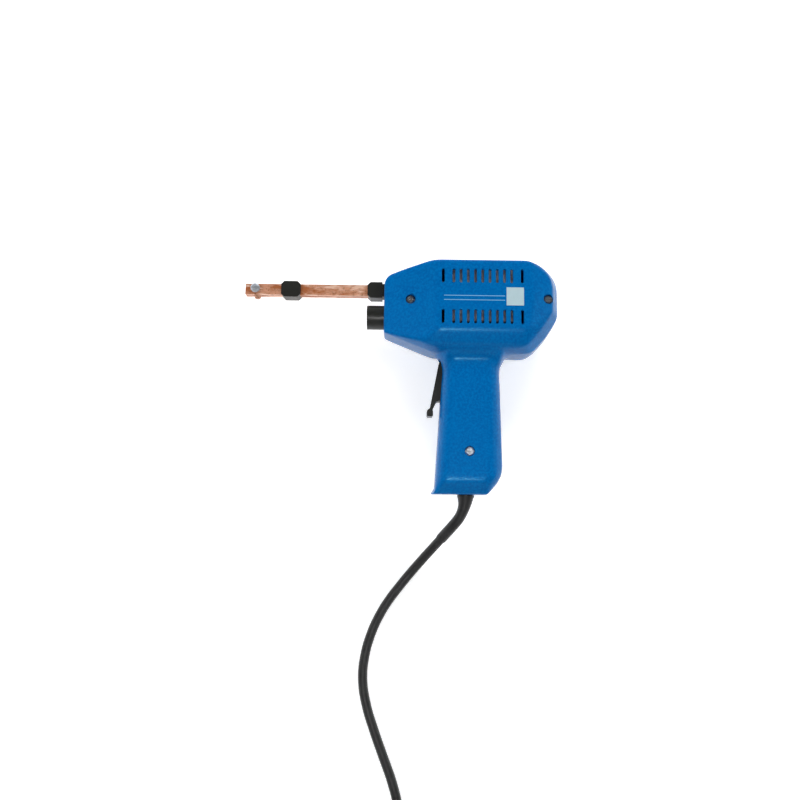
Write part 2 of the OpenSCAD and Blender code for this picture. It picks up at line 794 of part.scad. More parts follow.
// The rear collar's neck runs through the nose and is held by a flange behind it
module collar_rear() {
    color("#2b2c2b") on_gun() translate([0, -bar_y, 0]) difference() {
        union() {
            translate([0, 0, -collar_w / 2]) linear_extrude(height = collar_w)
                collar_outline(-collar_back, rear_collar_len - collar_back, false);
            translate([-collar_back - skin, -collar_neck_h / 2, -collar_neck_w / 2])
                cube([collar_back + wall + slack + collar_flange_t, collar_neck_h, collar_neck_w]);
            translate([wall + slack, -collar_neck_h / 2 - collar_flange, -collar_neck_w / 2 - collar_flange])
                cube([collar_flange_t, collar_neck_h - collar_flange, collar_neck_w + 2 * collar_flange]);
        }
        bar_hole(wall + slack + collar_flange_t, rear_collar_len + wall + slack + collar_flange_t);
    }
}

module on_lamp(x) {
    translate([x, -hood_y, 0]) rotate([0, 90, 0]) children();
}

module lamp_hood() {
    color("#232423") on_gun() difference() {
        union() {
            on_lamp(-hood_len) cylinder(d = hood_d, h = hood_len + hood_back);
            on_lamp(wall + slack) cylinder(d = hood_d + 2 * hood_flange, h = hood_flange_t);
        }
        on_lamp(-hood_len - cut) cylinder(d = hood_d - 2 * hood_wall, h = hood_len + hood_back + 2 * cut);
    }
}

module lamp_lens() {
    color("#dfe6e8") on_gun() on_lamp(-hood_len + lens_in)
        cylinder(d = hood_d - 2 * hood_wall - fit, h = lens_t);
}

module lamp_bulb() {
    color("#f2efe0") on_gun() {
        on_lamp(globe_x) sphere(d = globe_d);
        on_lamp(globe_x) cylinder(d = globe_d * 0.7, h = cap_x - globe_x);
    }
}

module lamp_cap() {
    color("#c3a24c") on_gun() on_lamp(cap_x) cylinder(d = cap_d, h = cap_len);
}

module lamp_socket() {
    color("#3b3a38") on_gun() difference() {
        on_lamp(cap_x + socket_in)
            cylinder(d = hood_d - 2 * hood_wall - 2 * slack, h = cap_len + 3 * socket_in);
        on_lamp(cap_x) cylinder(d = cap_d + 2 * slack, h = cap_len + slack);
    }
}

module bit_screw() {
    color("#aeb6c2") on_gun() translate([bit_screw_x, bit_screw_y, bar_half])
        screw(bit_screw_d, 2 * bar_half + bit_nut_t + bolt_end, bit_head_d, bit_head_h);
}

module bit_nut() {
    color("#aeb6c2") on_gun() translate([bit_screw_x, bit_screw_y, -bar_half - bit_nut_t]) difference() {
        cylinder(d = bit_nut_w / cos(30), h = bit_nut_t, $fn = 6);
        translate([0, 0, -cut]) cylinder(d = bit_screw_d + fit, h = bit_nut_t + 2 * cut);
    }
}

// The bit's shank is gripped in a groove of each bar, and its worn end stands out below them
module bit() {
    bit_foot = -bar_y - bar_h / 2 - bit_out;
    color("#a9623f") on_gun() translate([bit_x, bit_foot, 0]) rotate([-90, 0, 0]) {
        cylinder(d1 = bit_d * 0.7, d2 = bit_d, h = bit_d * 0.15);
        translate([0, 0, bit_d * 0.15]) cylinder(d = bit_d, h = bit_top - bit_foot - bit_d * 0.15);
    }
}

// Side outline of the trigger about its pivot: lever, knob, skirt, stop lip, arm and hub
function trigger_points() = let(n = trigger_len)
    concat([for (p = trigger_lever_shares) p * n],
           [[-arm_in, -n * 0.69], [-arm_in, -hub_d * 0.9]],
           arc([0, 0], hub_d / 2, hub_d / 2, -60, 95, 8));

module trigger() {
    color("#2a2b2a") on_gun() translate([pivot.x, pivot.y, 0]) difference() {
        translate([0, 0, -trigger_w / 2]) linear_extrude(height = trigger_w) polygon(trigger_points());
        translate([0, 0, -trigger_w]) cylinder(d = pivot_d + 2 * fit, h = 2 * trigger_w);
    }
}

module trigger_pin() {
    color("#c9c9c6") on_gun() translate([pivot.x, pivot.y, -pin_half])
        cylinder(d = pivot_d, h = 2 * pin_half);
}

// A compression spring round the plunger, between the trigger's arm and the switch
module trigger_spring() {
    from = arm_x + spring_wire / 2 + running;
    to = switch_x - spring_wire / 2 - fit;
    steps = spring_coils * 8;
    path = [for (i = [0:steps]) let(a = 360 * i / 8)
        [from + (to - from) * i / steps, plunger_y + spring_r * cos(a), spring_r * sin(a)]];
    color("#c9c9c6") on_gun() tube(path, same(path, spring_wire / 2), 6, [1, 0, 0]);
}

module switch_body() {
    color("#4a4640") on_gun() difference() {
        translate([switch_x, switch_top - switch_h, -switch_w / 2]) cube([switch_len, switch_h, switch_w]);
        translate([switch_x - cut, plunger_y, 0]) rotate([0, 90, 0])
            cylinder(d = plunger_d + 2 * slack, h = plunger_in + plunger_travel + 2 * cut);
    }
}

module switch_plunger() {
    color("#ded9cb") on_gun() translate([arm_x + plunger_gap, plunger_y, 0]) rotate([0, 90, 0]) {
        cylinder(d1 = plunger_d * 0.6, d2 = plunger_d, h = plunger_gap);
        translate([0, 0, plunger_gap])
            cylinder(d = plunger_d, h = switch_in - 2 * plunger_gap + plunger_in);
    }
}

module switch_terminals() {
    color("#c9a85a") on_gun() for (x = blade_x)
        translate([x - blade_t / 2, blade_foot, -blade_w / 2]) cube([blade_t, blade_len, blade_w]);
}

module bolt_holes() {
    for (y = bolt_y) for (side = [-1, 1])
        translate([stack_x - cut, y, side * bolt_z]) rotate([0, 90, 0])
            cylinder(d = core_bolt_d + 2 * slack, h = stack_len + 2 * cut);
}

module core_e() {
    color("#7d746c") on_gun() difference() {
        translate([stack_x, core_foot, -3 * limb]) cube([stack_len, window_top - core_foot, 6 * limb]);
        for (side = [-1, 1])
            translate([stack_x - cut, window_foot, side * 1.5 * limb - limb / 2])
                cube([stack_len + 2 * cut, 3 * limb + cut, limb]);
        bolt_holes();
    }
}

module core_i() {
    color("#857b72") on_gun() difference() {
        translate([stack_x, window_top, -3 * limb]) cube([stack_len, limb, 6 * limb]);
        bolt_holes();
    }
}

module core_bolts() {
    color("#b9b9b6") on_gun() for (y = bolt_y) for (side = [-1, 1])
        translate([stack_x, y, side * bolt_z]) rotate([0, -90, 0])
            screw(core_bolt_d, stack_len + core_nut_t + bolt_end, core_bolt_d * 1.8, core_nut_t * 0.8);
}

module core_nuts() {
    color("#b9b9b6") on_gun() for (y = bolt_y) for (side = [-1, 1])
        translate([core_end, y, side * bolt_z]) rotate([0, 90, 0]) difference() {
            cylinder(d = core_bolt_d * 2.1, h = core_nut_t, $fn = 6);
            translate([0, 0, -cut]) cylinder(d = core_bolt_d + fit, h = core_nut_t + 2 * cut);
        }
}

// A block round the middle limb, grown by w on its four sides
module round_limb(w, foot, top) {
    translate([stack_x - w, foot, -limb - w]) cube([stack_len + 2 * w, top - foot, 2 * (limb + w)]);
}

module bobbin() {
    foot = window_foot + slack;
    top = window_top - slack;
    color("#d8d2c0") on_gun() difference() {
        union() {
            round_limb(slack + bobbin_wall, foot, top);
            for (y = [foot, top - bobbin_wall]) round_limb(coil_over, y, y + bobbin_wall);
        }
        round_limb(slack, foot - cut, top + cut);
    }
}

module primary_winding() {
    foot = window_foot + 2 * slack + bobbin_wall;
    top = window_top - 2 * slack - bobbin_wall;
    color("#8a4a22") on_gun() difference() {
        round_limb(coil_over - running, foot, top);
        round_limb(2 * slack + bobbin_wall, foot - cut, top + cut);
    }
}

module cord_clamp() {
    color("#3b3a38") on_gun() difference() {
        translate([cord_x - clamp_len / 2, clamp_y - clamp_h / 2, slack])
            cube([clamp_len, clamp_h, cord_r + clamp_t]);
        translate([cord_x, clamp_y - clamp_h, 0]) rotate([-90, 0, 0])
            cylinder(r = cord_r + slack, h = 2 * clamp_h);
        for (side = [-1, 1]) translate([cord_x + side * clamp_pitch / 2, clamp_y, -cut])
            cylinder(d = clamp_screw_d + 2 * slack, h = half_w);
    }
}

module cord_clamp_screws() {
    color("#b9b9b6") on_gun() for (side = [-1, 1])
        translate([cord_x + side * clamp_pitch / 2, clamp_y, slack + cord_r + clamp_t])
            screw(clamp_screw_d, cord_r + clamp_t + screw_grip - bolt_end, clamp_screw_d * 1.8,
                  clamp_screw_d * 0.65);
}

// The end of the sheath inside the grip, from the strain relief to past the clamp
module cord_sheath() {
    from = grip_end + flange_up + flange_t;
    color("#2a2a2a") on_gun() translate([cord_x, from, 0]) rotate([-90, 0, 0])
        cylinder(r = cord_r, h = sheath_top - from);
}

module lead(path) {
    tube(path, same(path, lead_r), 8);
}

// Height of a lead between the sheath's end and the switch's blades
function lead_y(share) = sheath_top + (blade_foot - sheath_top) * share;

module live_lead() {
    d = lead_d;
    x = cord_x - d * 0.7;
    left = grip_post.x - post_d * 0.7;
    color("#6b4226") on_gun() lead([[x, sheath_top + fit, 0], [x, lead_y(0.08), 0], [left, lead_y(0.15), 0],
        [left - d * 0.4, lead_y(0.31), 0], [left, lead_y(0.5), 0], [blade_x[0] - d * 0.8, lead_y(0.72), 0],
        [blade_x[0], lead_y(0.9), 0], [blade_x[0], blade_foot - fit, 0]]);
}

// Both supply leads run up behind the switch, through the neck and to the rear of the winding
function riser(z) =
    let(d = lead_d, back = switch_x + switch_len + d * 1.15, foot = switch_top - switch_h,
        winding = core_end + coil_over - running)
    [[back, foot - d * 1.7, z], [back, foot + d * 3.3, z], [back, switch_top - d, z],
     [back, -neck_foot - d * 1.7, z], [back + d * 0.6, -neck_foot + d * 1.7, z],
     [back + d * 2.5, -head_h + d * 3, z], [back + d * 5.4, core_foot - d * 2.9, z],
     [winding + d * 0.6, core_foot, z], [winding + d, window_foot - d * 1.7, z],
     [winding + d, window_foot + d, z], [winding + d * 0.6, window_foot + d * 2, z],
     [winding + fit, window_foot + d * 2, z]];

module switch_lead() {
    d = lead_d;
    x = blade_x[1];
    color("#1f1f1f") on_gun() lead(concat([[x, blade_foot - fit, 0], [x, blade_foot - d, 0],
        [x + d * 0.75, blade_foot - d * 2.9, d * 0.4], [x + d * 2.3, blade_foot - d * 3.3, d * 0.75],
        [x + d * 3.6, blade_foot - d * 2.1, d], [x + d * 4.1, blade_foot, d * 1.1]], riser(d * 1.1)));
}

module neutral_lead() {
    d = lead_d;
    x = cord_x + d * 0.7;
    color("#2f5fa8") on_gun() lead(concat([[x, sheath_top + fit, 0], [x, lead_y(0.08), 0],
        [grip_post.x + post_d * 0.75, lead_y(0.2), -d * 0.4],
        [grip_post.x + post_d * 0.95, lead_y(0.42), -d * 0.8],
        [grip_post.x + post_d * 1.3, lead_y(0.69), -d * 1.1]], riser(-d * 1.1)));
}

module lamp_leads() {
    d = lead_d;
    from = cap_x + cap_len + 4 * socket_in;
    front = stack_x - coil_over + running;
    y = -hood_y - d * 1.2;
    color("#8c8c88") on_gun() for (side = [-1, 1])
        lead([for (p = [[from + fit, y], [from + d * 1.2, y], [from + d * 5, y - d * 1.7],
                        [from + d * 8.3, y - d * 2.1], [front - d * 2.3, y - d],
                        [front - d * 1.2, window_foot - d * 0.4], [front - d * 0.9, window_foot + d * 1.6],
                        [front - d * 0.5, window_foot + d * 2.5], [front - fit, window_foot + d * 2.5]])
                 [p.x, p.y, side * d * 1.25]]);
}

// A flange held behind the grip's end wall, and a tapered sleeve moulded round the bending lead
module strain_relief() {
    foot = grip_end + nose_at.y;
    x = cord_route[0].x;
    z = cord_route[0].z;
    path = concat([[x, foot - fit, z]], [for (i = [1:relief_steps]) cord_route[i]]);
    color("#262626") {
        tube(path, [for (s = relief_shares) (relief_end_d + (relief_d - relief_end_d) * s) / 2], 12);
        translate([x, foot - cut, z]) rotate([-90, 0, 0])
            cylinder(d = relief_neck, h = cut + flange_up + flange_t);
        translate([x, foot + flange_up, z]) rotate([-90, 0, 0]) cylinder(d = relief_flange, h = flange_t);
    }
}

// The lead from the end of the strain relief to the coil
module cord_run() {
    path = [for (i = [relief_steps:len(cord_route) - 1]) cord_route[i]];
    color("#262626") tube(path, same(path, cord_r), 12);
}

// Radius and height of the coil: it spirals in, climbs a layer where it reverses, and spirals out
function reversal(u) = abs(u) > 0.25 ? abs(u) : 2 * u * u + 0.125;
function climb(u) = u < -0.25 ? 0 : u > 0.25 ? 1 : let(s = 2 * u + 0.5) s * s * (3 - 2 * s);
function coil_point(t) =
    let(u = t - coil_turns / 2, r = coil_r + coil_step * reversal(u), a = 180 + 360 * t)
    [coil_at.x + r * cos(a), coil_at.y + r * sin(a), coil_z + coil_step * climb(u)];
function on_tail(d, z) = [tail_from.x + tail_dir.x * d, tail_from.y + tail_dir.y * d, z];
function coil_path() =
    let(steps = round(coil_turns * coil_rings))
    concat([coil_from], [for (i = [0:steps]) coil_point(coil_turns * i / steps)],
           [on_tail(cord_d, coil_z + coil_step)]);
function tail_path() = [for (p = tail_points) on_tail(p.x, p.y)];

// Length of a list of points, and the least room between turns of the coil
function sum(v) = v * [for (x = v) 1];
function path_length(p) = sum([for (i = [1:len(p) - 1]) norm(p[i] - p[i - 1])]);
function coil_room(p) =
    min([for (i = [0:len(p) - 8]) for (j = [i + 7:len(p) - 1]) norm(p[i] - p[j])]) - cord_d;

module cord_coil() {
    path = coil_path();
    inside_len = cord_route[0].y - grip_end - nose_at.y;
    lead_len = path_length(cord_route) + path_length(path) + path_length(tail_path()) - inside_len;
    echo(str("Least gap of the coil to itself: ", coil_room(path), " mm"));
    echo(str("Length of the lead outside the grip: ", lead_len, " mm"));
    color("#262626") tube(path, same(path, cord_r), 6);
}

module cord_tail() {
    path = tail_path();
    color("#262626") tube(path, same(path, cord_r), 12);
}

// A flat band round the turns, at the side of the coil away from the gun
module cord_tie() {
    inner = coil_r - cord_r - tie_room;
    outer = coil_out + cord_r + tie_room;
    high = coil_z + coil_step + cord_r + running;
    color("#3c3c3c") translate([coil_at.x, coil_at.y, 0]) difference() {
        translate([-tie_w / 2, -outer - tie_t, 0]) cube([tie_w, outer - inner + 2 * tie_t, high + tie_t]);
        translate([-tie_w, -outer, tie_t]) cube([2 * tie_w, outer - inner, high - tie_t]);
    }
}

// The plug is drawn along X from the end of the lead and turned into the lead's direction
module on_plug() {
    translate(on_tail(plug_from, plug_z)) rotate([0, 0, coil_end + 90]) children();
}

module plug_body() {
    half = plug_w / 2;
    front = plug_tail + plug_len;
    color("#242424") on_plug() difference() {
        union() {
            rotate([0, 90, 0])
                cylinder(r1 = cord_r + tail_lip, r2 = plug_t * 0.45, h = plug_tail + tail_lip);
            translate([0, 0, -plug_t / 2]) linear_extrude(height = plug_t)
                polygon([[plug_tail, -half * 0.45], [plug_tail + plug_len * 0.3, -half],
                         [front - plug_corner, -half], [front, plug_corner - half],
                         [front, half - plug_corner], [front - plug_corner, half],
                         [plug_tail + plug_len * 0.3, half], [plug_tail, half * 0.45]]);
        }
        for (side = [-1, 1]) translate([front - pin_root, side * pin_pitch / 2, 0]) rotate([0, 90, 0])
            cylinder(d = pin_core + fit, h = pin_root + cut);
    }
}

module plug_sleeves() {
    color("#1b1b1b") on_plug() for (side = [-1, 1])
        translate([plug_tail + plug_len, side * pin_pitch / 2, 0]) rotate([0, 90, 0]) difference() {
            cylinder(d = pin_d - 2 * slack, h = pin_sleeve);
            translate([0, 0, -cut]) cylinder(d = pin_core + fit, h = pin_sleeve + 2 * cut);
        }
}

module plug_pins() {
    tip = pin_d * 0.3;
    color("#c7b57a") on_plug() for (side = [-1, 1])
        translate([plug_tail + plug_len - pin_root + fit, side * pin_pitch / 2, 0]) rotate([0, 90, 0]) {
            cylinder(d = pin_core, h = pin_root + pin_sleeve);
            translate([0, 0, pin_root + pin_sleeve - fit])
                cylinder(d = pin_d, h = pin_len - pin_sleeve - tip);
            translate([0, 0, pin_root + pin_len - tip - fit])
                cylinder(d1 = pin_d, d2 = pin_d * 0.5, h = tip);
        }
}

near_shell();
far_shell();
head_screws();
grip_screw();
label_patch();
label_rules();
secondary_bar();
collar_front();
collar_rear();
lamp_hood();
lamp_lens();
lamp_bulb();
lamp_cap();
lamp_socket();
bit_screw();
bit_nut();
bit();
trigger();
trigger_pin();
trigger_spring();
switch_body();
switch_plunger();
switch_terminals();
core_e();
core_i();
core_bolts();
core_nuts();
bobbin();
primary_winding();
cord_clamp();
cord_clamp_screws();
cord_sheath();
live_lead();
neutral_lead();
switch_lead();
lamp_leads();
strain_relief();
cord_run();
cord_coil();
cord_tail();
cord_tie();
plug_body();
plug_sleeves();
plug_pins();
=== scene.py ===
import math
import bmesh
import bpy
from mathutils import Matrix, Vector


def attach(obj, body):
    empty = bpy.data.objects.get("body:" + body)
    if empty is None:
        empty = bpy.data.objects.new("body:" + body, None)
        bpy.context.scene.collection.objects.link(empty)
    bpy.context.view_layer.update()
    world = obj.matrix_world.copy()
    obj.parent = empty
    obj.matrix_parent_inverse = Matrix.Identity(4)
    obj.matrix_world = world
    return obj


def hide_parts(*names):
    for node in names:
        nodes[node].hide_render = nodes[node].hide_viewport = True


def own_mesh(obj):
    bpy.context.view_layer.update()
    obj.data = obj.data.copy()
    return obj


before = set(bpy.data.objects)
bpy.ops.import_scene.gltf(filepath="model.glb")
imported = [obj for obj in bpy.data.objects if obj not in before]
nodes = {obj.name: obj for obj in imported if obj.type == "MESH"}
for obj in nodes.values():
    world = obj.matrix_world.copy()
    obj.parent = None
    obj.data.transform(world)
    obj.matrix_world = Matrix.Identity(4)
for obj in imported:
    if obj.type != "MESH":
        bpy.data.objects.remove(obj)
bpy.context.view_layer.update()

scene = bpy.context.scene
MM = 0.001

# The gun's own frame: X from the nose to the rear, Y from the head's top, which is 0, down to
# the grip, which is negative, and Z from the parting line. This is its origin in the frame of
# the whole part, in millimetres.
NOSE = Vector((-12.25, 86.15, 28))


def mm(x, y, z):
    return Vector((x, y, z)) * MM


def gun(x, y, z):
    return (Vector((x, y, z)) + NOSE) * MM


def add_object(name, data):
    ob = bpy.data.objects.new(name, data)
    scene.collection.objects.link(ob)
    return ob


# Camera
CAMERA_AT = mm(2.25, -97.15, 578)
CAMERA_AIM = mm(0.75, -16.15, 28)
CAMERA_ROLL = math.radians(0.85)


def make_camera():
    data = bpy.data.cameras.new("camera")
    cam = add_object("camera", data)
    place = CAMERA_AT
    ahead = (CAMERA_AIM - place).normalized()
    right = ahead.cross(Vector((0, 1, 0))).normalized()
    up = right.cross(ahead)
    r = math.cos(CAMERA_ROLL) * right + math.sin(CAMERA_ROLL) * up
    u = -math.sin(CAMERA_ROLL) * right + math.cos(CAMERA_ROLL) * up
    cam.matrix_world = Matrix((
        (r.x, u.x, -ahead.x, place.x), (r.y, u.y, -ahead.y, place.y),
        (r.z, u.z, -ahead.z, place.z), (0, 0, 0, 1)))
    data.lens = 33.36
    data.sensor_width = 36
    data.clip_start = 0.01
    data.clip_end = 50
    scene.camera = cam


make_camera()

# Cord: one smooth line from the grip's end along the floor, into its coil and on to the plug,
# in millimetres
ROUTE = [(50, -86.15, 28), (50, -87, 28), (49.5, -92.2, 27.7), (48.1, -97.5, 26.9),
         (45.9, -102.3, 25.3), (42.8, -106.7, 23.3), (37.6, -112.8, 19.9), (32.2, -119.1, 16.4),
         (26.8, -125.4, 12.9), (21.8, -131.2, 9.7), (16.2, -137.8, 6.9), (9.8, -145.4, 4.8),
         (2.5, -154.5, 3.7), (-5.5, -165, 3.5), (-12.5, -176.5, 3.5), (-18.5, -190, 3.5),
         (-22.6, -205, 3.5), (-24, -222, 3.5), (-21, -240, 3.5), (-15, -258, 3.5),
         (-8, -276, 3.5), (-1, -294, 3.5), (4, -312, 3.5), (7, -330, 3.8), (8, -348, 4.2),
         (8, -365, 4.2)]
CORD_R = 3.5

# The coil has two layers. Its turns and its layers are STEP apart, and the lead climbs from one
# layer to the other over CROSSING of a turn on each side of the middle.
COIL_AT = Vector((54.3667, -372))
COIL_R = 28
COIL_LOW = 4.2
TURNS = 4 + 5 / 6
PER_TURN = 24
STEP = 7.6
CROSSING = 0.25

# From the coil to the plug the lead runs straight, seen from above: (distance, height)
TAIL_FROM = Vector((31.183, -331.845))
TAIL_TURN = math.radians(210)
TAIL_DIR = Vector((math.cos(TAIL_TURN), math.sin(TAIL_TURN)))
TAIL = [(7, 11.8), (16, 11.8), (28, 11.8), (38, 11.2), (48, 9.2), (58, 7.4), (66, 6.85),
        (75, 6.85)]


def coil_points():
    """Inwards on the lower layer, and outwards again on the upper one."""
    count = round(TURNS * PER_TURN)
    out = []
    for k in range(count + 1):
        t = TURNS * k / count
        u = t - TURNS / 2
        spread = abs(u) if abs(u) > CROSSING else u * u / (2 * CROSSING) + CROSSING / 2
        r = COIL_R + STEP * spread
        a = math.radians(180 + 360 * t)
        s = min(1, max(0, (u + CROSSING) / (2 * CROSSING)))
        z = COIL_LOW + STEP * s * s * (3 - 2 * s)
        out.append((COIL_AT.x + r * math.cos(a), COIL_AT.y + r * math.sin(a), z))
    return out


def cord_points():
    tail = [(TAIL_FROM.x + TAIL_DIR.x * d, TAIL_FROM.y + TAIL_DIR.y * d, z) for d, z in TAIL]
    return ROUTE + coil_points() + tail


def make_cord():
    data = bpy.data.curves.new("mains_lead", "CURVE")
    data.dimensions = "3D"
    points = cord_points()
    line = data.splines.new("BEZIER")
    line.bezier_points.add(len(points) - 1)
    for p, at in zip(line.bezier_points, points):
        p.co = mm(*at)
        p.handle_left_type = "AUTO"
        p.handle_right_type = "AUTO"
    line.resolution_u = 6
    data.bevel_depth = CORD_R * MM
    data.bevel_resolution = 5
    data.use_fill_caps = True
    return add_object("mains_lead", data)


cord = make_cord()

# Mesh helpers
FLAT = 0.002  # the angle, in radians, under which neighbouring faces become one


def from_bmesh(name, bm):
    data = bpy.data.meshes.new(name)
    bm.to_mesh(data)
    bm.free()
    return add_object(name, data)


def hull(name, points):
    bm = bmesh.new()
    for p in points:
        bm.verts.new(p)
    done = bmesh.ops.convex_hull(bm, input=bm.verts)
    spare = [g for g in done["geom_interior"] + done["geom_unused"]
             if isinstance(g, bmesh.types.BMVert)]
    bmesh.ops.delete(bm, geom=list(set(spare)), context="VERTS")
    bmesh.ops.dissolve_limit(bm, angle_limit=FLAT, verts=bm.verts, edges=bm.edges)
    bmesh.ops.recalc_face_normals(bm, faces=bm.faces)
    return from_bmesh(name, bm)


def settle(ob):
    """Applies the object's modifiers to its mesh."""
    bpy.context.view_layer.update()
    deps = bpy.context.evaluated_depsgraph_get()
    data = bpy.data.meshes.new_from_object(ob.evaluated_get(deps))
    ob.modifiers.clear()
    ob.data = data
    return ob


def boolean(ob, others, operation):
    others = others if isinstance(others, list) else [others]
    for other in others:
        mod = ob.modifiers.new("cut", "BOOLEAN")
        mod.object = other
        mod.operation = operation
        mod.solver = "EXACT"
    settle(ob)
    for other in others:
        bpy.data.objects.remove(other)
    return ob


def join(name, parts):
    bm = bmesh.new()
    for part in parts:
        bm.from_mesh(part.data)
        bpy.data.objects.remove(part)
    return from_bmesh(name, bm)


def strip(bm, a, b):
    """Faces between two rings of the same number of points."""
    n = len(a)
    for k in range(n):
        bm.faces.new((a[k], a[(k + 1) % n], b[(k + 1) % n], b[k]))


def prism(name, rings):
    """A closed solid through rings of the same number of points."""
    bm = bmesh.new()
    rows = [[bm.verts.new(p) for p in ring] for ring in rings]
    for a, b in zip(rows, rows[1:]):
        strip(bm, a, b)
    bm.faces.new(rows[0][::-1])
    bm.faces.new(rows[-1])
    bmesh.ops.recalc_face_normals(bm, faces=bm.faces)
    return from_bmesh(name, bm)


def round_rod(name, at, axis, stations, sides):
    """A turned solid along an axis: stations are (distance, radius)."""
    turn = Vector(axis).normalized().to_track_quat("Z", "Y").to_matrix()
    turns = [2 * math.pi * k / sides for k in range(sides)]
    return prism(name, [[Vector(at) + turn @ Vector((r * math.cos(a), r * math.sin(a), d)) * MM
                         for a in turns] for d, r in stations])


def block(name, x0, x1, y0, y1, z0, z1):
    return hull(name, [gun(x, y, z) for x in (x0, x1) for y in (y0, y1) for z in (z0, z1)])


def arc(cx, cy, rx, ry, start, end, steps):
    out = []
    for k in range(steps + 1):
        a = math.radians(start + (end - start) * k / steps)
        out.append((cx + rx * math.cos(a), cy + ry * math.sin(a)))
    return out


def inset(points, w):
    """The outline moved to its left by w, which is inwards where it runs anticlockwise."""
    out = []
    n = len(points)
    for i, p in enumerate(points):
        p = Vector(p)
        a = (p - Vector(points[i - 1])).normalized()
        b = (Vector(points[(i + 1) % n]) - p).normalized()
        na = Vector((-a.y, a.x))
        nb = Vector((-b.y, b.x))
        out.append(p + w * (na + nb) / (1 + na.dot(nb)))
    return out


# Forms of the moulded halves, in the gun's own frame. Each is a hull of outlines at some heights
# from the parting line, and w is how far it stands inside the outer surface.
WALL = 2.5
HALF = 28            # half the thickness of the head
HEAD_EDGE = 12       # height at which the head's sides start to lean in
HEAD_FOLD = 22.96    # height of the fold between its sides and its face
NECK_EDGE = 9.92
GRIP_HALF = 16
GRIP_EDGE = 9

# Side view of the head
FOOT_X = 38          # the underside slopes up from here to the nose
NOSE_FOOT_Y = -53.2
TOP_X = 35.8         # the top slopes down from here to the nose's round corner
CROWN_X, CROWN_Y = 8, -7.6
SLOPE_RUN = 27.8
NOSE_ROUND_Y, NOSE_ROUND_R = -16.4, 8.8
TOP_ROUND_R = 21
LOW_RUN, LOW_RISE = 25, 28.6
LOW_CORNER = [(1, 0), (0.84, 0.025), (0.716, 0.091), (0.54, 0.259), (0.356, 0.455),
              (0.172, 0.703), (0.048, 0.888), (0, 1)]
FACE_X, FACE_FOOT_Y = 40.7, -53.4
FACE = [(FACE_X, FACE_FOOT_Y), (105.4, FACE_FOOT_Y), (108.65, -26.7), (105.4, -1.5),
        (FACE_X, -1.5)]


def head_outline(front, rear, top, foot):
    out = [(front, NOSE_FOOT_Y + (foot - NOSE_FOOT_Y) * front / FOOT_X), (FOOT_X, foot)]
    out += [(rear - LOW_RUN * a, foot + LOW_RISE * b) for a, b in LOW_CORNER]
    out += arc(rear - TOP_ROUND_R, -top - TOP_ROUND_R, TOP_ROUND_R, TOP_ROUND_R, 0, 90, 14)
    out += [(TOP_X, -top)]
    if front > CROWN_X:
        out += [(front, CROWN_Y + (-CROWN_Y - top) / SLOPE_RUN * (front - CROWN_X))]
    else:
        out += arc(CROWN_X, NOSE_ROUND_Y, CROWN_X - front, NOSE_ROUND_R, 90, 180, 6)
    return out


def both(points, z):
    return [gun(p[0], p[1], s * z) for p in points for s in (1, -1)]


def head(w):
    fold = FACE_X * (HEAD_FOLD - HEAD_EDGE) / (HALF - HEAD_EDGE)
    return hull("head", both(inset(head_outline(0, 130.5, 0, -68.6), w), 0)
                + both(inset(head_outline(0, 129.5, 0.15, -68.45), w), HEAD_EDGE - w / 2)
                + both(inset(head_outline(fold, 124, 0.3, -65.3), w), HEAD_FOLD - w / 2)
                + both(inset(FACE, w / 2), HALF - w))


def neck(w):
    foot = -79.8
    grip_side = [(50 + w / 2, -72.7 - w / 4), (81.2 - w / 2, -72.7 - w / 4),
                 (81.2 - w / 2, -71.7), (50 + w / 2, -71.7)]
    face_side = [(52 + w / 2, FACE_FOOT_Y - w / 4), (91 - w / 2, FACE_FOOT_Y - w / 4),
                 (91 - w / 2, -52.4), (52 + w / 2, -52.4)]
    return hull("neck", both([(38.6 + w, -65.6), (94 - w, -65.6), (86.8 - w, foot),
                              (44.4 + w, foot)], 0)
                + both([(42.6 + w, -64.6), (90 - w, -64.6), (85.7 - w, foot),
                        (45.5 + w, foot)], NECK_EDGE - w / 2)
                + both(grip_side, GRIP_HALF - w) + both(face_side, HALF - w))


def grip(w):
    line = [(44.4, -74.8), (38.6, -172.3), (77.5, -172.3), (84.8, -164.3), (88.21, -158),
            (89, -152.3), (86.8, -74.8)]
    side = [(50 + w / 2, -72.7), (44.2 + w / 2, -163.4 + w), (76.5 - w / 2, -163.4 + w),
            (82.2 - w / 2, -158), (81.2 - w / 2, -72.7)]
    return hull("grip", both(inset(line, w), 0)
                + both(inset(line, w + 0.3), GRIP_EDGE - 0.7 * w)
                + both(side, GRIP_HALF - w))


def lip():
    """The small beak at the foot of the grip's front."""
    return hull("lip", both([(36, -172.3), (41.2, -172.3), (41.2, -168.1), (38.6, -168.1)], 0)
                + both([(37.73, -172), (41.2, -172), (41.2, -170.2), (38.9, -170.2)], GRIP_EDGE))


# Screw posts: place, width, the seat of the screw's head, and the surface over it
POSTS = [(19.7, -29.5, 10, 15.4, 19.6), (120.7, -29.5, 10, 20, 24.6),
         (64, -141.1, 9, 13.2, 16)]
VENTS = [51.1 + 5.28 * i for i in range(9)] + [43.4, 101.04]
VENT_ROWS = (-13.8, -44.3)
BARS_Y, BARS_GAP = -18.9, 5.1
LEVER_GAP = 5.8      # half the width of the trigger's slot, and the inner end of its bosses
VOXEL = 0.85 * MM
SEAM = 0.09          # half the gap between the shells


def weight(ob, name, value):
    """A vertex group whose weights come from a function of the place in the gun's frame."""
    group = ob.vertex_groups.new(name=name)
    for v in ob.data.vertices:
        w = value(v.co / MM - NOSE)
        if w > 0:
            group.add([v.index], min(1, w), "REPLACE")
    return name


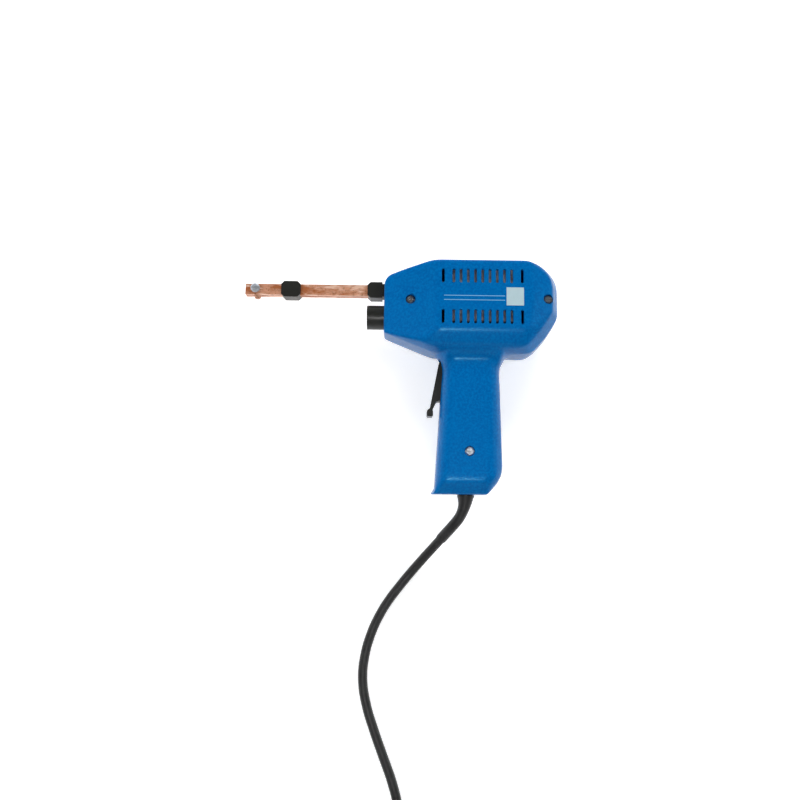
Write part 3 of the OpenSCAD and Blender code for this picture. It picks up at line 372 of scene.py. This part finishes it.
def smooth(ob, count, group=None):
    mod = ob.modifiers.new("smooth", "SMOOTH")
    mod.factor = 0.5
    mod.iterations = count
    if group:
        mod.vertex_group = group


def ease(value, low, high):
    return min(1, max(0, (value - low) / (high - low)))


def away_from_lip(p):
    return 1 if (p - Vector((FOOT_X, -171, p.z))).length > 6 else 0.25


def grip_folds(p):
    return ease(abs(p.z), 3, 8) * ease(-p.y, 74, 80) * ease(p.y, -170.5, -166)


def folds(p):
    on_head = ease(abs(p.z), 17, 21) * ease(p.y, -66, -60)
    return max(on_head, grip_folds(p))


def blend(p):
    across = ease(p.x, 30, 42) * ease(-p.x, -106, -92)
    return ease(-p.y, 56, 62) * ease(p.y, -92, -83) * across


def make_form():
    """Both halves' outside as one solid, with its edges and blends rounded as in the mould."""
    form = join("form", [head(0), neck(0), grip(0), lip()])
    mod = form.modifiers.new("remesh", "REMESH")
    mod.mode = "VOXEL"
    mod.voxel_size = VOXEL
    settle(form)
    for name, value, count in (("all", away_from_lip, 10), ("folds", folds, 34),
                               ("grip_folds", grip_folds, 40), ("blend", blend, 90)):
        smooth(form, count, weight(form, name, value))
    smooth(form, 2)
    settle(form)
    form.vertex_groups.clear()
    return form


def vent(x, y, side, length=10.4, width=2):
    """Cutter of one slot, with a softened mouth."""
    half = (length - width) / 2
    rings = []
    for z, grow in ((20, 0), (27.62, 0), (27.9, 0.12), (28.02, 0.35), (30, 0.35)):
        r = width / 2 + grow
        ring = arc(x, y + half, r, r, 0, 180, 10) + arc(x, y - half, r, r, 180, 360, 10)
        rings.append([gun(*p, side * z) for p in ring])
    return prism("vent", rings)


def recess(x, y, seat, top, hole=1.9, r=3.6):
    """Cutter of a screw's counterbore with a softened mouth, and of its hole."""
    stations = [(-1, hole), (seat, hole), (seat + 0.001, r), (top - 0.5, r), (top - 0.05, 3.85),
                (top + 6, 4.4)]
    return round_rod("recess", gun(x, y, 0), (0, 0, 1), stations, 40)


def supports(side, past=1):
    """Posts, bosses and ribs that stand inside one half. The posts start past the parting line."""
    parts = [round_rod("post", gun(x, y, -side * past), (0, 0, side),
                       [(0, width / 2), (28, width / 2)], 28)
             for x, y, width, seat, top in POSTS]
    parts += [round_rod("boss", gun(54, -78.3, side * LEVER_GAP), (0, 0, side),
                        [(0, 3.5), (20, 3.5)], 24)]
    for x0, x1, y0, y1, z0 in ((51.3, 93.3, -49.3, -47.3, 19.2), (51.3, 93.3, -5.7, -1, 19.2),
                               (51.3, 93.3, -30.2, -28.2, 24.8)):
        parts.append(block("rib", x0, x1, y0, y1, side * z0, side * 27))
    return parts


def make_half(form, near):
    side = 1 if near else -1
    name = "near_housing" if near else "far_housing"
    half = add_object(name, form.data.copy())
    keep = block("keep", -20, 160, -200, 20, side * SEAM, side * 40)
    boolean(half, keep, "INTERSECT")
    cavity = head(WALL)
    boolean(cavity, [neck(WALL), grip(WALL)], "UNION")
    boolean(cavity, supports(side), "DIFFERENCE")
    cutters = [vent(x, y, side) for x in VENTS for y in VENT_ROWS]
    cutters += [block("bars", -3, 6.5, BARS_Y - BARS_GAP, BARS_Y + BARS_GAP, -BARS_GAP, BARS_GAP),
                block("lever", 30, 47.4, -106, -71.5, -LEVER_GAP, LEVER_GAP),
                round_rod("hood", gun(-3, -39.2, 0), (1, 0, 0), [(0, 9.35), (6.5, 9.35)], 48),
                round_rod("relief", gun(62.25, -174, 0), (0, 1, 0), [(0, 5.5), (6, 5.5)], 40)]
    if near:
        cutters += [recess(x, y, seat, top) for x, y, width, seat, top in POSTS]
    boolean(half, cavity, "DIFFERENCE")
    boolean(half, join("cutters", cutters), "DIFFERENCE")
    half.data.set_sharp_from_angle(angle=math.radians(42))
    return half


form = make_form()
near_housing = make_half(form, True)
far_housing = make_half(form, False)
bpy.data.objects.remove(form)


# Swept pieces
def spline(points, per):
    p = [Vector(q) for q in points]
    p = [2 * p[0] - p[1]] + p + [2 * p[-1] - p[-2]]
    out = []
    for i in range(1, len(p) - 2):
        for k in range(per):
            t = k / per
            out.append(0.5 * ((2 * p[i]) + (p[i + 1] - p[i - 1]) * t
                              + (2 * p[i - 1] - 5 * p[i] + 4 * p[i + 1] - p[i + 2]) * t * t
                              + (3 * p[i] - p[i - 1] - 3 * p[i + 1] + p[i + 2]) * t * t * t))
    out.append(p[-2])
    return out


def along(path, i):
    return (path[min(i + 1, len(path) - 1)] - path[max(i - 1, 0)]).normalized()


def ring(p, r, a, b, sides):
    """Points of a circle of radius r round p, in the plane of a and b."""
    turns = [2 * math.pi * k / sides for k in range(sides)]
    return [(p + r * (math.cos(t) * a + math.sin(t) * b)) * MM for t in turns]


# Strain relief: a sleeve with its flange and groove at the grip's end wall, (y, radius), from
# which it tapers onto the lead
RELIEF_HEAD = [(-80.7, 7.1), (-82.8, 7.1), (-82.85, 5.3), (-86.1, 5.3), (-86.25, 5.3),
               (-86.3, 6.1)]


def make_relief(sides=36, end_r=3.95, flare=2.45, flare_to=0.42, rounded_from=0.97):
    line = [Vector((50, y, 28)) for y, r in RELIEF_HEAD]
    radii = [r for y, r in RELIEF_HEAD]
    path = spline([(50, -86.6, 28)] + ROUTE[2:8], 8)
    total = sum((b - a).length for a, b in zip(path, path[1:]))
    run = 0
    for i, p in enumerate(path):
        if i:
            run += (p - path[i - 1]).length
        t = run / total
        r = end_r + flare * max(0, 1 - t / flare_to) ** 2.2
        if t > rounded_from:
            r -= 0.3 * ((t - rounded_from) / 0.03) ** 2
        line.append(p)
        radii.append(r)
    rings = []
    for i, p in enumerate(line):
        ahead = along(line, i) if i > len(RELIEF_HEAD) else Vector((0, -1, 0))
        a = ahead.cross(Vector((0, 0, 1))).normalized()
        rings.append(ring(p, radii[i], a, ahead.cross(a), sides))
    relief = prism("relief_sleeve", rings)
    relief.data.set_sharp_from_angle(angle=math.radians(50))
    return relief


relief = make_relief()


def extents(solid):
    box = [solid.matrix_world @ v.co / MM for v in solid.data.vertices]
    return (Vector([min(v[i] for v in box) for i in range(3)]),
            Vector([max(v[i] for v in box) for i in range(3)]))


# Return spring: a fine helix in the place of its plain solid, with close turns at its ends
def make_spring(solid, wire=0.3, coils=5, per_turn=28, sides=10, close=0.14, between=0.72):
    low, high = extents(solid)
    middle = (low + high) / 2
    r = (high.z - low.z) / 2 - wire
    start, end = low.x + wire, high.x - wire
    path = []
    for k in range(coils * per_turn + 1):
        t = k / (coils * per_turn)
        a = 2 * math.pi * coils * t
        rest = min(1, max(0, (t - close) / between))
        path.append(Vector((start + (end - start) * (0.82 * rest + 0.18 * t),
                            middle.y + r * math.cos(a), middle.z + r * math.sin(a))))
    rings = []
    for k, p in enumerate(path):
        out = (p - Vector((p.x, middle.y, middle.z))).normalized()
        rings.append(ring(p, wire, out, along(path, k).cross(out).normalized(), sides))
    return prism("return_spring", rings), high.x, middle


spring, spring_end, spring_middle = make_spring(nodes["trigger_spring"])


# Tie: a woven strap round the coil, with its loose end folded back over the top
def make_tie(solid, thick=0.65, corner=4.2, soft=0.35):
    low, high = extents(solid)
    y0, y1, z0, z1 = low.y + corner, high.y - corner, low.z + corner, high.z - corner
    corners = [(y1, z0, -90), (y1, z1, 0), (y0, z1, 90), (y0, z0, 180)]
    bm = bmesh.new()
    rows = []
    for x, d in ((low.x, soft), (low.x + soft, 0), (high.x - soft, 0), (high.x, soft)):
        rows.append([[bm.verts.new(mm(x, *q)) for y, z, a in corners
                      for q in arc(y, z, r, r, a, a + 90, 8)]
                     for r in (corner - d, corner - thick + d)])
    walk = [row[0] for row in rows] + [row[1] for row in rows[::-1]] + [rows[0][0]]
    for a, b in zip(walk, walk[1:]):
        strip(bm, a, b)
    bmesh.ops.recalc_face_normals(bm, faces=bm.faces)
    band = from_bmesh("band", bm)
    start, end = high.y - 7.5, low.y + 5.5
    half = (high.x - low.x) / 2 - 0.5
    middle = (low.x + high.x) / 2
    outline = [(middle - half, start), (middle + half, start)]
    outline += [(middle + half * math.cos(a), end + 3 - 3 * math.sin(a))
                for a in [math.pi * k / 10 for k in range(11)]]
    tongue = prism("tongue", [[mm(x, y, high.z + z) for x, y in inset(outline, w)]
                              for z, w in ((-0.3, 0), (0.75, 0), (1.0, 0.3))])
    tie = join("coil_tie", [band, tongue])
    tie.data.set_sharp_from_angle(angle=math.radians(35))
    return tie


tie = make_tie(nodes["cord_tie"])


# Materials
def new_material(name):
    """A material, its tree, its shader, and the object's coordinates in metres."""
    mat = bpy.data.materials.new(name)
    mat.use_nodes = True
    tree = mat.node_tree
    return mat, tree, tree.nodes["Principled BSDF"], coords(tree)


def coords(tree, scale=(1, 1, 1)):
    tex = tree.nodes.new("ShaderNodeTexCoord")
    mapping = tree.nodes.new("ShaderNodeMapping")
    mapping.inputs["Scale"].default_value = scale
    tree.links.new(tex.outputs["Object"], mapping.inputs["Vector"])
    return mapping.outputs["Vector"]


def noise_at(tree, vector, size_mm, detail=3, rough=0.55):
    node = tree.nodes.new("ShaderNodeTexNoise")
    node.inputs["Scale"].default_value = 1000 / size_mm
    node.inputs["Detail"].default_value = detail
    node.inputs["Roughness"].default_value = rough
    tree.links.new(vector, node.inputs["Vector"])
    return node.outputs["Fac"]


def wave_at(tree, vector, pitch_mm, distortion, direction="X"):
    node = tree.nodes.new("ShaderNodeTexWave")
    node.bands_direction = direction
    node.inputs["Scale"].default_value = 2 * math.pi / 10 / (pitch_mm * MM)
    node.inputs["Distortion"].default_value = distortion
    tree.links.new(vector, node.inputs["Vector"])
    return node.outputs["Fac"]


def times(colour, factor):
    return tuple(c * factor for c in colour)


def grey(value):
    return (value, value, value)


def ramp(tree, fac, stops):
    node = tree.nodes.new("ShaderNodeValToRGB")
    el = node.color_ramp.elements
    while len(el) < len(stops):
        el.new(0.5)
    for e, (at, colour) in zip(el, stops):
        e.position = at
        e.color = (*colour, 1)
    tree.links.new(fac, node.inputs["Fac"])
    return node.outputs["Color"]


def levels(tree, fac, low, high, from_low=0.3, from_high=0.7):
    node = tree.nodes.new("ShaderNodeMapRange")
    node.inputs["From Min"].default_value = from_low
    node.inputs["From Max"].default_value = from_high
    node.inputs["To Min"].default_value = low
    node.inputs["To Max"].default_value = high
    tree.links.new(fac, node.inputs["Value"])
    return node.outputs["Result"]


def mix(tree, fac, a, b):
    """Colour a where fac is 0 and b where it is 1. Sockets 0, 6, 7 and 2 are those of colours."""
    node = tree.nodes.new("ShaderNodeMix")
    node.data_type = "RGBA"
    for socket, value in ((node.inputs[0], fac), (node.inputs[6], a), (node.inputs[7], b)):
        if isinstance(value, tuple):
            socket.default_value = (*value, 1)
        else:
            tree.links.new(value, socket)
    return node.outputs[2]


def bump(tree, shader, heights, distance_mm):
    last = None
    for height, amount in heights:
        node = tree.nodes.new("ShaderNodeBump")
        node.inputs["Strength"].default_value = 1
        node.inputs["Distance"].default_value = distance_mm * amount * MM
        tree.links.new(height, node.inputs["Height"])
        if last:
            tree.links.new(last, node.inputs["Normal"])
        last = node.outputs["Normal"]
    tree.links.new(last, shader.inputs["Normal"])


def finish(tree, shader, colour, rough, **values):
    """Links the colour and the roughness, and sets the other sockets by their names."""
    tree.links.new(colour, shader.inputs["Base Color"])
    tree.links.new(rough, shader.inputs["Roughness"])
    for name, value in values.items():
        shader.inputs[name.replace("_", " ")].default_value = value


def plastic(name, colour, rough=(0.36, 0.46), specular=0.35, grain=0.35, mottle=0.12):
    mat, tree, shader, v = new_material(name)
    cloud = noise_at(tree, v, 14, 4)
    fine = noise_at(tree, v, grain, 2)
    wave = noise_at(tree, v, 5, 2)
    base = ramp(tree, cloud, [(0.3, times(colour, 1 - mottle)), (0.7, times(colour, 1 + mottle))])
    finish(tree, shader, base, levels(tree, cloud, rough[1], rough[0]),
           Specular_IOR_Level=specular)
    bump(tree, shader, [(wave, 3), (fine, 1)], 0.012)
    return mat


def metal(name, colour, dull, rough, metallic=1.0, lines=None):
    """Metal with dull clouds, and with fine lines where a scale for them is given."""
    mat, tree, shader, v = new_material(name)
    cloud = noise_at(tree, v, 3, 5, 0.6)
    fine = noise_at(tree, v, 0.4, 3)
    base = ramp(tree, cloud, [(0.36, dull), (0.62, colour)])
    finish(tree, shader, base, levels(tree, cloud, rough[1], rough[0]), Metallic=metallic)
    heights = [(cloud, 1), (fine, 0.5)]
    if lines:
        heights.append((noise_at(tree, coords(tree, lines), 1000, 2, 0.5), 0.6))
    bump(tree, shader, heights, 0.02)
    return mat


def blue_plastic():
    mat, tree, shader, v = new_material("blue_plastic")
    cloud = noise_at(tree, v, 22, 4)
    speck = noise_at(tree, v, 1.7, 3)
    fine = noise_at(tree, v, 0.3, 2)
    wave = noise_at(tree, v, 7, 2)
    base = ramp(tree, cloud, [(0.25, (0.0, 0.098, 0.335)), (0.75, (0.0, 0.121, 0.39))])
    spots = levels(tree, speck, 0, 1, 0.4, 0.62)
    finish(tree, shader, mix(tree, spots, base, (0.0, 0.144, 0.435)),
           levels(tree, cloud, 0.27, 0.23), Specular_IOR_Level=0.22,
           Specular_Tint=(0.3, 0.85, 1.0, 1))
    bump(tree, shader, [(wave, 4), (speck, 1.6), (fine, 0.6)], 0.014)
    return mat


def copper(name, lighter=1.0):
    """Copper browned by heat and sooty in specks, with a painted highlight in pale bands along X.
    """
    mat, tree, shader, v = new_material(name)
    stain = noise_at(tree, coords(tree, (0.35, 1, 1)), 7, 5, 0.62)
    small = noise_at(tree, v, 1.4, 4, 0.6)
    fine = noise_at(tree, v, 0.25, 2)
    dents = noise_at(tree, v, 4.5, 3)
    highlight_band_noise = noise_at(tree, coords(tree, (0.3, 1, 1)), 4, 4, 0.6)
    bright = times((0.84, 0.41, 0.255), lighter)
    brown = times((0.52, 0.165, 0.06), lighter)
    base = ramp(tree, stain, [(0.4, brown), (0.5, times(bright, 0.85)), (0.6, bright)])
    sooty = levels(tree, small, 0.75, 0, 0.34, 0.46)
    base = mix(tree, sooty, base, (0.33, 0.11, 0.045))
    # painted highlight: pale bands along X mixed into the copper's colour where the noise runs
    # high
    painted_highlight = levels(tree, highlight_band_noise, 0, 0.9, 0.52, 0.62)
    finish(tree, shader, mix(tree, painted_highlight, base, (1.0, 0.68, 0.52)),
           levels(tree, stain, 0.42, 0.26), Metallic=0.35)
    bump(tree, shader, [(dents, 22), (small, 3), (fine, 0.5)], 0.02)
    return mat


def laminations():
    mat, tree, shader, v = new_material("laminations")
    sheets = wave_at(tree, v, 0.65, 0.4)
    rust = noise_at(tree, v, 5, 4, 0.6)
    # painted light: both tones are lighter than the steel itself, standing in for the light that
    # reaches the core through the vents
    base = ramp(tree, rust, [(0.38, (0.42, 0.3, 0.27)), (0.62, (0.86, 0.78, 0.75))])
    joints = levels(tree, sheets, 0.65, 0, 0.0, 0.35)
    finish(tree, shader, mix(tree, joints, base, (0.05, 0.035, 0.03)),
           levels(tree, rust, 0.6, 0.42), Metallic=0.25)
    bump(tree, shader, [(sheets, 3), (rust, 1)], 0.03)
    return mat


def rubber(name, colour, rough=(0.42, 0.55)):
    mat, tree, shader, v = new_material(name)
    dust = noise_at(tree, v, 9, 5, 0.6)
    fine = noise_at(tree, v, 0.5, 3)
    base = ramp(tree, dust, [(0.35, times(colour, 0.8)), (0.68, times(colour, 1.35))])
    finish(tree, shader, base, levels(tree, dust, rough[0], rough[1]), Specular_IOR_Level=0.5)
    bump(tree, shader, [(fine, 1), (dust, 2)], 0.015)
    return mat


def printed(name, colour, under):
    """Ink on the moulded side, thin in specks where it is worn."""
    mat, tree, shader, v = new_material(name)
    wear = noise_at(tree, v, 1.6, 5, 0.7)
    cloud = noise_at(tree, v, 6, 3)
    base = ramp(tree, cloud, [(0.3, times(colour, 0.93)), (0.7, colour)])
    worn = levels(tree, wear, 0.75, 0, 0.24, 0.33)
    finish(tree, shader, mix(tree, worn, base, under), levels(tree, cloud, 0.5, 0.4),
           Specular_IOR_Level=0.3)
    bump(tree, shader, [(wear, 1)], 0.01)
    return mat


def winding():
    mat, tree, shader, v = new_material("enamelled_wire")
    turns = wave_at(tree, v, 0.5, 0.6, "Y")
    tone = noise_at(tree, v, 4, 3)
    base = ramp(tree, tone, [(0.3, (0.22, 0.06, 0.02)), (0.7, (0.42, 0.13, 0.04))])
    # painted shade: near-black lines in the grooves between the turns of wire
    shaded_gaps = levels(tree, turns, 0.6, 0, 0, 0.4)
    finish(tree, shader, mix(tree, shaded_gaps, base, (0.05, 0.015, 0.008)),
           levels(tree, tone, 0.35, 0.25), Metallic=0.5)
    bump(tree, shader, [(turns, 6)], 0.03)
    return mat


def woven(name, colour):
    mat, tree, shader, v = new_material(name)
    threads = wave_at(tree, v, 0.7, 0.8)
    tone = noise_at(tree, v, 2, 4)
    base = ramp(tree, tone, [(0.3, times(colour, 0.7)), (0.7, colour)])
    finish(tree, shader, base, levels(tree, tone, 0.85, 0.7))
    bump(tree, shader, [(threads, 6), (tone, 3)], 0.03)
    return mat


def glass(name, colour, rough=0.08):
    mat, tree, shader, v = new_material(name)
    tone = noise_at(tree, v, 3, 3)
    base = ramp(tree, tone, [(0.3, times(colour, 0.92)), (0.7, colour)])
    finish(tree, shader, base, levels(tree, tone, rough, rough * 1.6), Transmission_Weight=0.9,
           IOR=1.49)
    bump(tree, shader, [(tone, 1)], 0.01)
    return mat


BLUE = blue_plastic()
BLACK = plastic("black_plastic", (0.019, 0.0195, 0.0175), (0.3, 0.42), 0.38, 0.4, 0.25)
BROWN = plastic("switch_plastic", (0.075, 0.038, 0.02), (0.35, 0.45), 0.4)
CREAM = plastic("cream_plastic", (0.62, 0.56, 0.42), (0.4, 0.5), 0.4)
COPPER = copper("copper")
BIT_COPPER = copper("bit_copper", 0.75)
STEEL = metal("zinc_steel", (0.72, 0.77, 0.85), (0.44, 0.46, 0.48), (0.28, 0.42), 0.55,
              lines=(900, 9000, 900))
DARK_SCREW = metal("dark_screw", (0.34, 0.36, 0.38), (0.08, 0.08, 0.08), (0.28, 0.42), 0.55)
BRASS = metal("brass", (0.72, 0.52, 0.22), (0.42, 0.3, 0.13), (0.25, 0.42))
CORE = laminations()
WIRE = winding()
CORD = rubber("cord_rubber", (0.015, 0.015, 0.0155))
PLUG = rubber("plug_rubber", (0.014, 0.014, 0.0145), (0.38, 0.5))
TIE = woven("tie_grey", (0.17, 0.17, 0.18))
WHITE = printed("print_white", (0.44, 0.585, 0.635), (0.16, 0.34, 0.5))
LINES = printed("print_blue", (0.17, 0.42, 0.68), (0.02, 0.22, 0.52))
LENS = glass("lens", (0.92, 0.94, 0.93))
BULB = glass("bulb_glass", (0.95, 0.96, 0.97), 0.03)
NYLON_BROWN = plastic("wire_brown", (0.12, 0.05, 0.025))
NYLON_BLUE = plastic("wire_blue", (0.02, 0.10, 0.38))
NYLON_BLACK = plastic("wire_black", (0.02, 0.02, 0.02))
NYLON_GREY = plastic("wire_grey", (0.25, 0.25, 0.25))

# The solids that stay as they are: the material, and the width of the rounded edges in
# millimetres, or 0 for none
FINISH = {
    "head_screws": (DARK_SCREW, 0.15), "grip_screw": (STEEL, 0.2),
    "label_patch": (WHITE, 0.08), "label_rules": (LINES, 0.08),
    "secondary_bar": (COPPER, 0.5), "collar_front": (BLACK, 0.6), "collar_rear": (BLACK, 0.6),
    "lamp_hood": (BLACK, 0.4), "lamp_lens": (LENS, 0), "lamp_bulb": (BULB, 0),
    "lamp_cap": (BRASS, 0.2), "lamp_socket": (BLACK, 0.3),
    "bit_screw": (STEEL, 0.25), "bit_nut": (STEEL, 0.25), "bit": (BIT_COPPER, 0.3),
    "trigger": (BLACK, 0.9), "trigger_pin": (STEEL, 0),
    "switch_body": (BROWN, 0.5), "switch_plunger": (CREAM, 0.3), "switch_terminals": (BRASS, 0),
    "core_e": (CORE, 0.2), "core_i": (CORE, 0.2), "core_bolts": (STEEL, 0),
    "core_nuts": (STEEL, 0), "bobbin": (CREAM, 0.2), "primary_winding": (WIRE, 0),
    "cord_clamp": (BLACK, 0.4), "cord_clamp_screws": (STEEL, 0), "cord_sheath": (CORD, 0),
    "live_lead": (NYLON_BROWN, 0), "neutral_lead": (NYLON_BLUE, 0),
    "switch_lead": (NYLON_BLACK, 0), "lamp_leads": (NYLON_GREY, 0),
    "plug_body": (PLUG, 1.2), "plug_sleeves": (BLACK, 0), "plug_pins": (BRASS, 0.3),
}


def dress(ob, mat):
    ob.data.materials.clear()
    ob.data.materials.append(mat)


def soften(ob, width):
    mod = ob.modifiers.new("edges", "BEVEL")
    mod.width = width * MM
    mod.segments = 3
    mod.limit_method = "ANGLE"
    mod.angle_limit = math.radians(32)
    mod.harden_normals = True
    mod.use_clamp_overlap = True


for name, (mat, width) in FINISH.items():
    dress(nodes[name], mat)
    if width:
        soften(nodes[name], width)

# The new pieces stand for their solids
for ob, name in ((near_housing, "near_shell"), (far_housing, "far_shell")):
    dress(ob, BLUE)
    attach(ob, "housing")
    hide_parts(name)

dress(spring, STEEL)
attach(spring, "housing")
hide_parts("trigger_spring")
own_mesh(spring)

dress(tie, TIE)
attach(tie, "housing")
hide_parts("cord_tie")

dress(relief, CORD)
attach(relief, "housing")
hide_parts("strain_relief")

cord.data.materials.append(CORD)
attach(cord, "housing")
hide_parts("cord_run", "cord_coil", "cord_tail")


# Floor and light
def seen_by(tree, *kinds):
    """1 for a ray of one of these kinds, and 0 for any other."""
    path = tree.nodes.new("ShaderNodeLightPath")
    last = path.outputs[kinds[0]]
    for kind in kinds[1:]:
        node = tree.nodes.new("ShaderNodeMath")
        node.operation = "MAXIMUM"
        tree.links.new(last, node.inputs[0])
        tree.links.new(path.outputs[kind], node.inputs[1])
        last = node.outputs[0]
    return last


def make_floor(half_size=2.2, below=0.0002, glow_strength=0.5):
    """A pale sheet, with a glow of its own that lifts it to white where it is looked at."""
    bm = bmesh.new()
    bmesh.ops.create_grid(bm, x_segments=2, y_segments=2, size=half_size)
    floor = from_bmesh("floor", bm)
    floor.location.z = -below
    mat, tree, shader, v = new_material("floor_paper")
    grain = noise_at(tree, v, 40, 3)
    tree.links.new(ramp(tree, grain, [(0.3, grey(0.92)), (0.7, grey(0.93))]),
                   shader.inputs["Base Color"])
    shader.inputs["Roughness"].default_value = 0.95
    shader.inputs["Specular IOR Level"].default_value = 0.0
    glow = tree.nodes.new("ShaderNodeEmission")
    both_shaders = tree.nodes.new("ShaderNodeAddShader")
    seen = seen_by(tree, "Is Camera Ray", "Is Glossy Ray", "Is Transmission Ray")
    tree.links.new(levels(tree, seen, 0, glow_strength, 0, 1), glow.inputs["Strength"])
    tree.links.new(shader.outputs["BSDF"], both_shaders.inputs[0])
    tree.links.new(glow.outputs["Emission"], both_shaders.inputs[1])
    tree.links.new(both_shaders.outputs["Shader"], tree.nodes["Material Output"].inputs["Surface"])
    dress(floor, mat)


def make_world():
    """White where it is looked at, an even room for the light, and for reflections a room that
    is pale at the horizon and dark above."""
    world = bpy.data.worlds.new("world")
    world.use_nodes = True
    tree = world.node_tree
    back = tree.nodes["Background"]
    way = tree.nodes.new("ShaderNodeSeparateXYZ")
    tree.links.new(tree.nodes.new("ShaderNodeTexCoord").outputs["Generated"], way.inputs["Vector"])
    room = ramp(tree, way.outputs["Z"], [(0.0, grey(0.5)), (0.3, grey(0.3)), (0.62, grey(0.07)),
                                         (0.85, grey(0.015))])
    tone = mix(tree, seen_by(tree, "Is Glossy Ray"), grey(0.1), room)
    behind = seen_by(tree, "Is Camera Ray", "Is Transmission Ray")
    tree.links.new(mix(tree, behind, tone, grey(1.0)), back.inputs["Color"])
    back.inputs["Strength"].default_value = 1
    scene.world = world


def softbox(name, place, target, size, power, glossy):
    """A lamp that is seen in reflections alone, or that lights everything but isn't seen there."""
    data = bpy.data.lights.new(name, "AREA")
    data.shape = "RECTANGLE"
    data.size, data.size_y = size
    data.energy = power
    ob = add_object(name, data)
    ob.visible_glossy = glossy
    ob.visible_diffuse = not glossy
    ob.location = place
    ob.rotation_euler = (Vector(target) - Vector(place)).to_track_quat("-Z", "Y").to_euler()


make_floor()
make_world()
softbox("front", (0, -2.4, 1.45), (0, 0, 0), (2.6, 1.0), 33, False)
softbox("left", (-2.4, 0.3, 1.45), (0, 0, 0), (1.0, 2.4), 38, False)
softbox("right", (2.4, 0.3, 1.45), (0, 0, 0), (1.0, 2.4), 36, False)
softbox("back", (0, 2.4, 1.6), (0, 0, 0), (2.6, 1.0), 58, False)
softbox("glint", (0.02, -0.64, 2.5), (0.02, 0, 0), (0.3, 0.12), 19, True)
scene.view_settings.view_transform = "Standard"
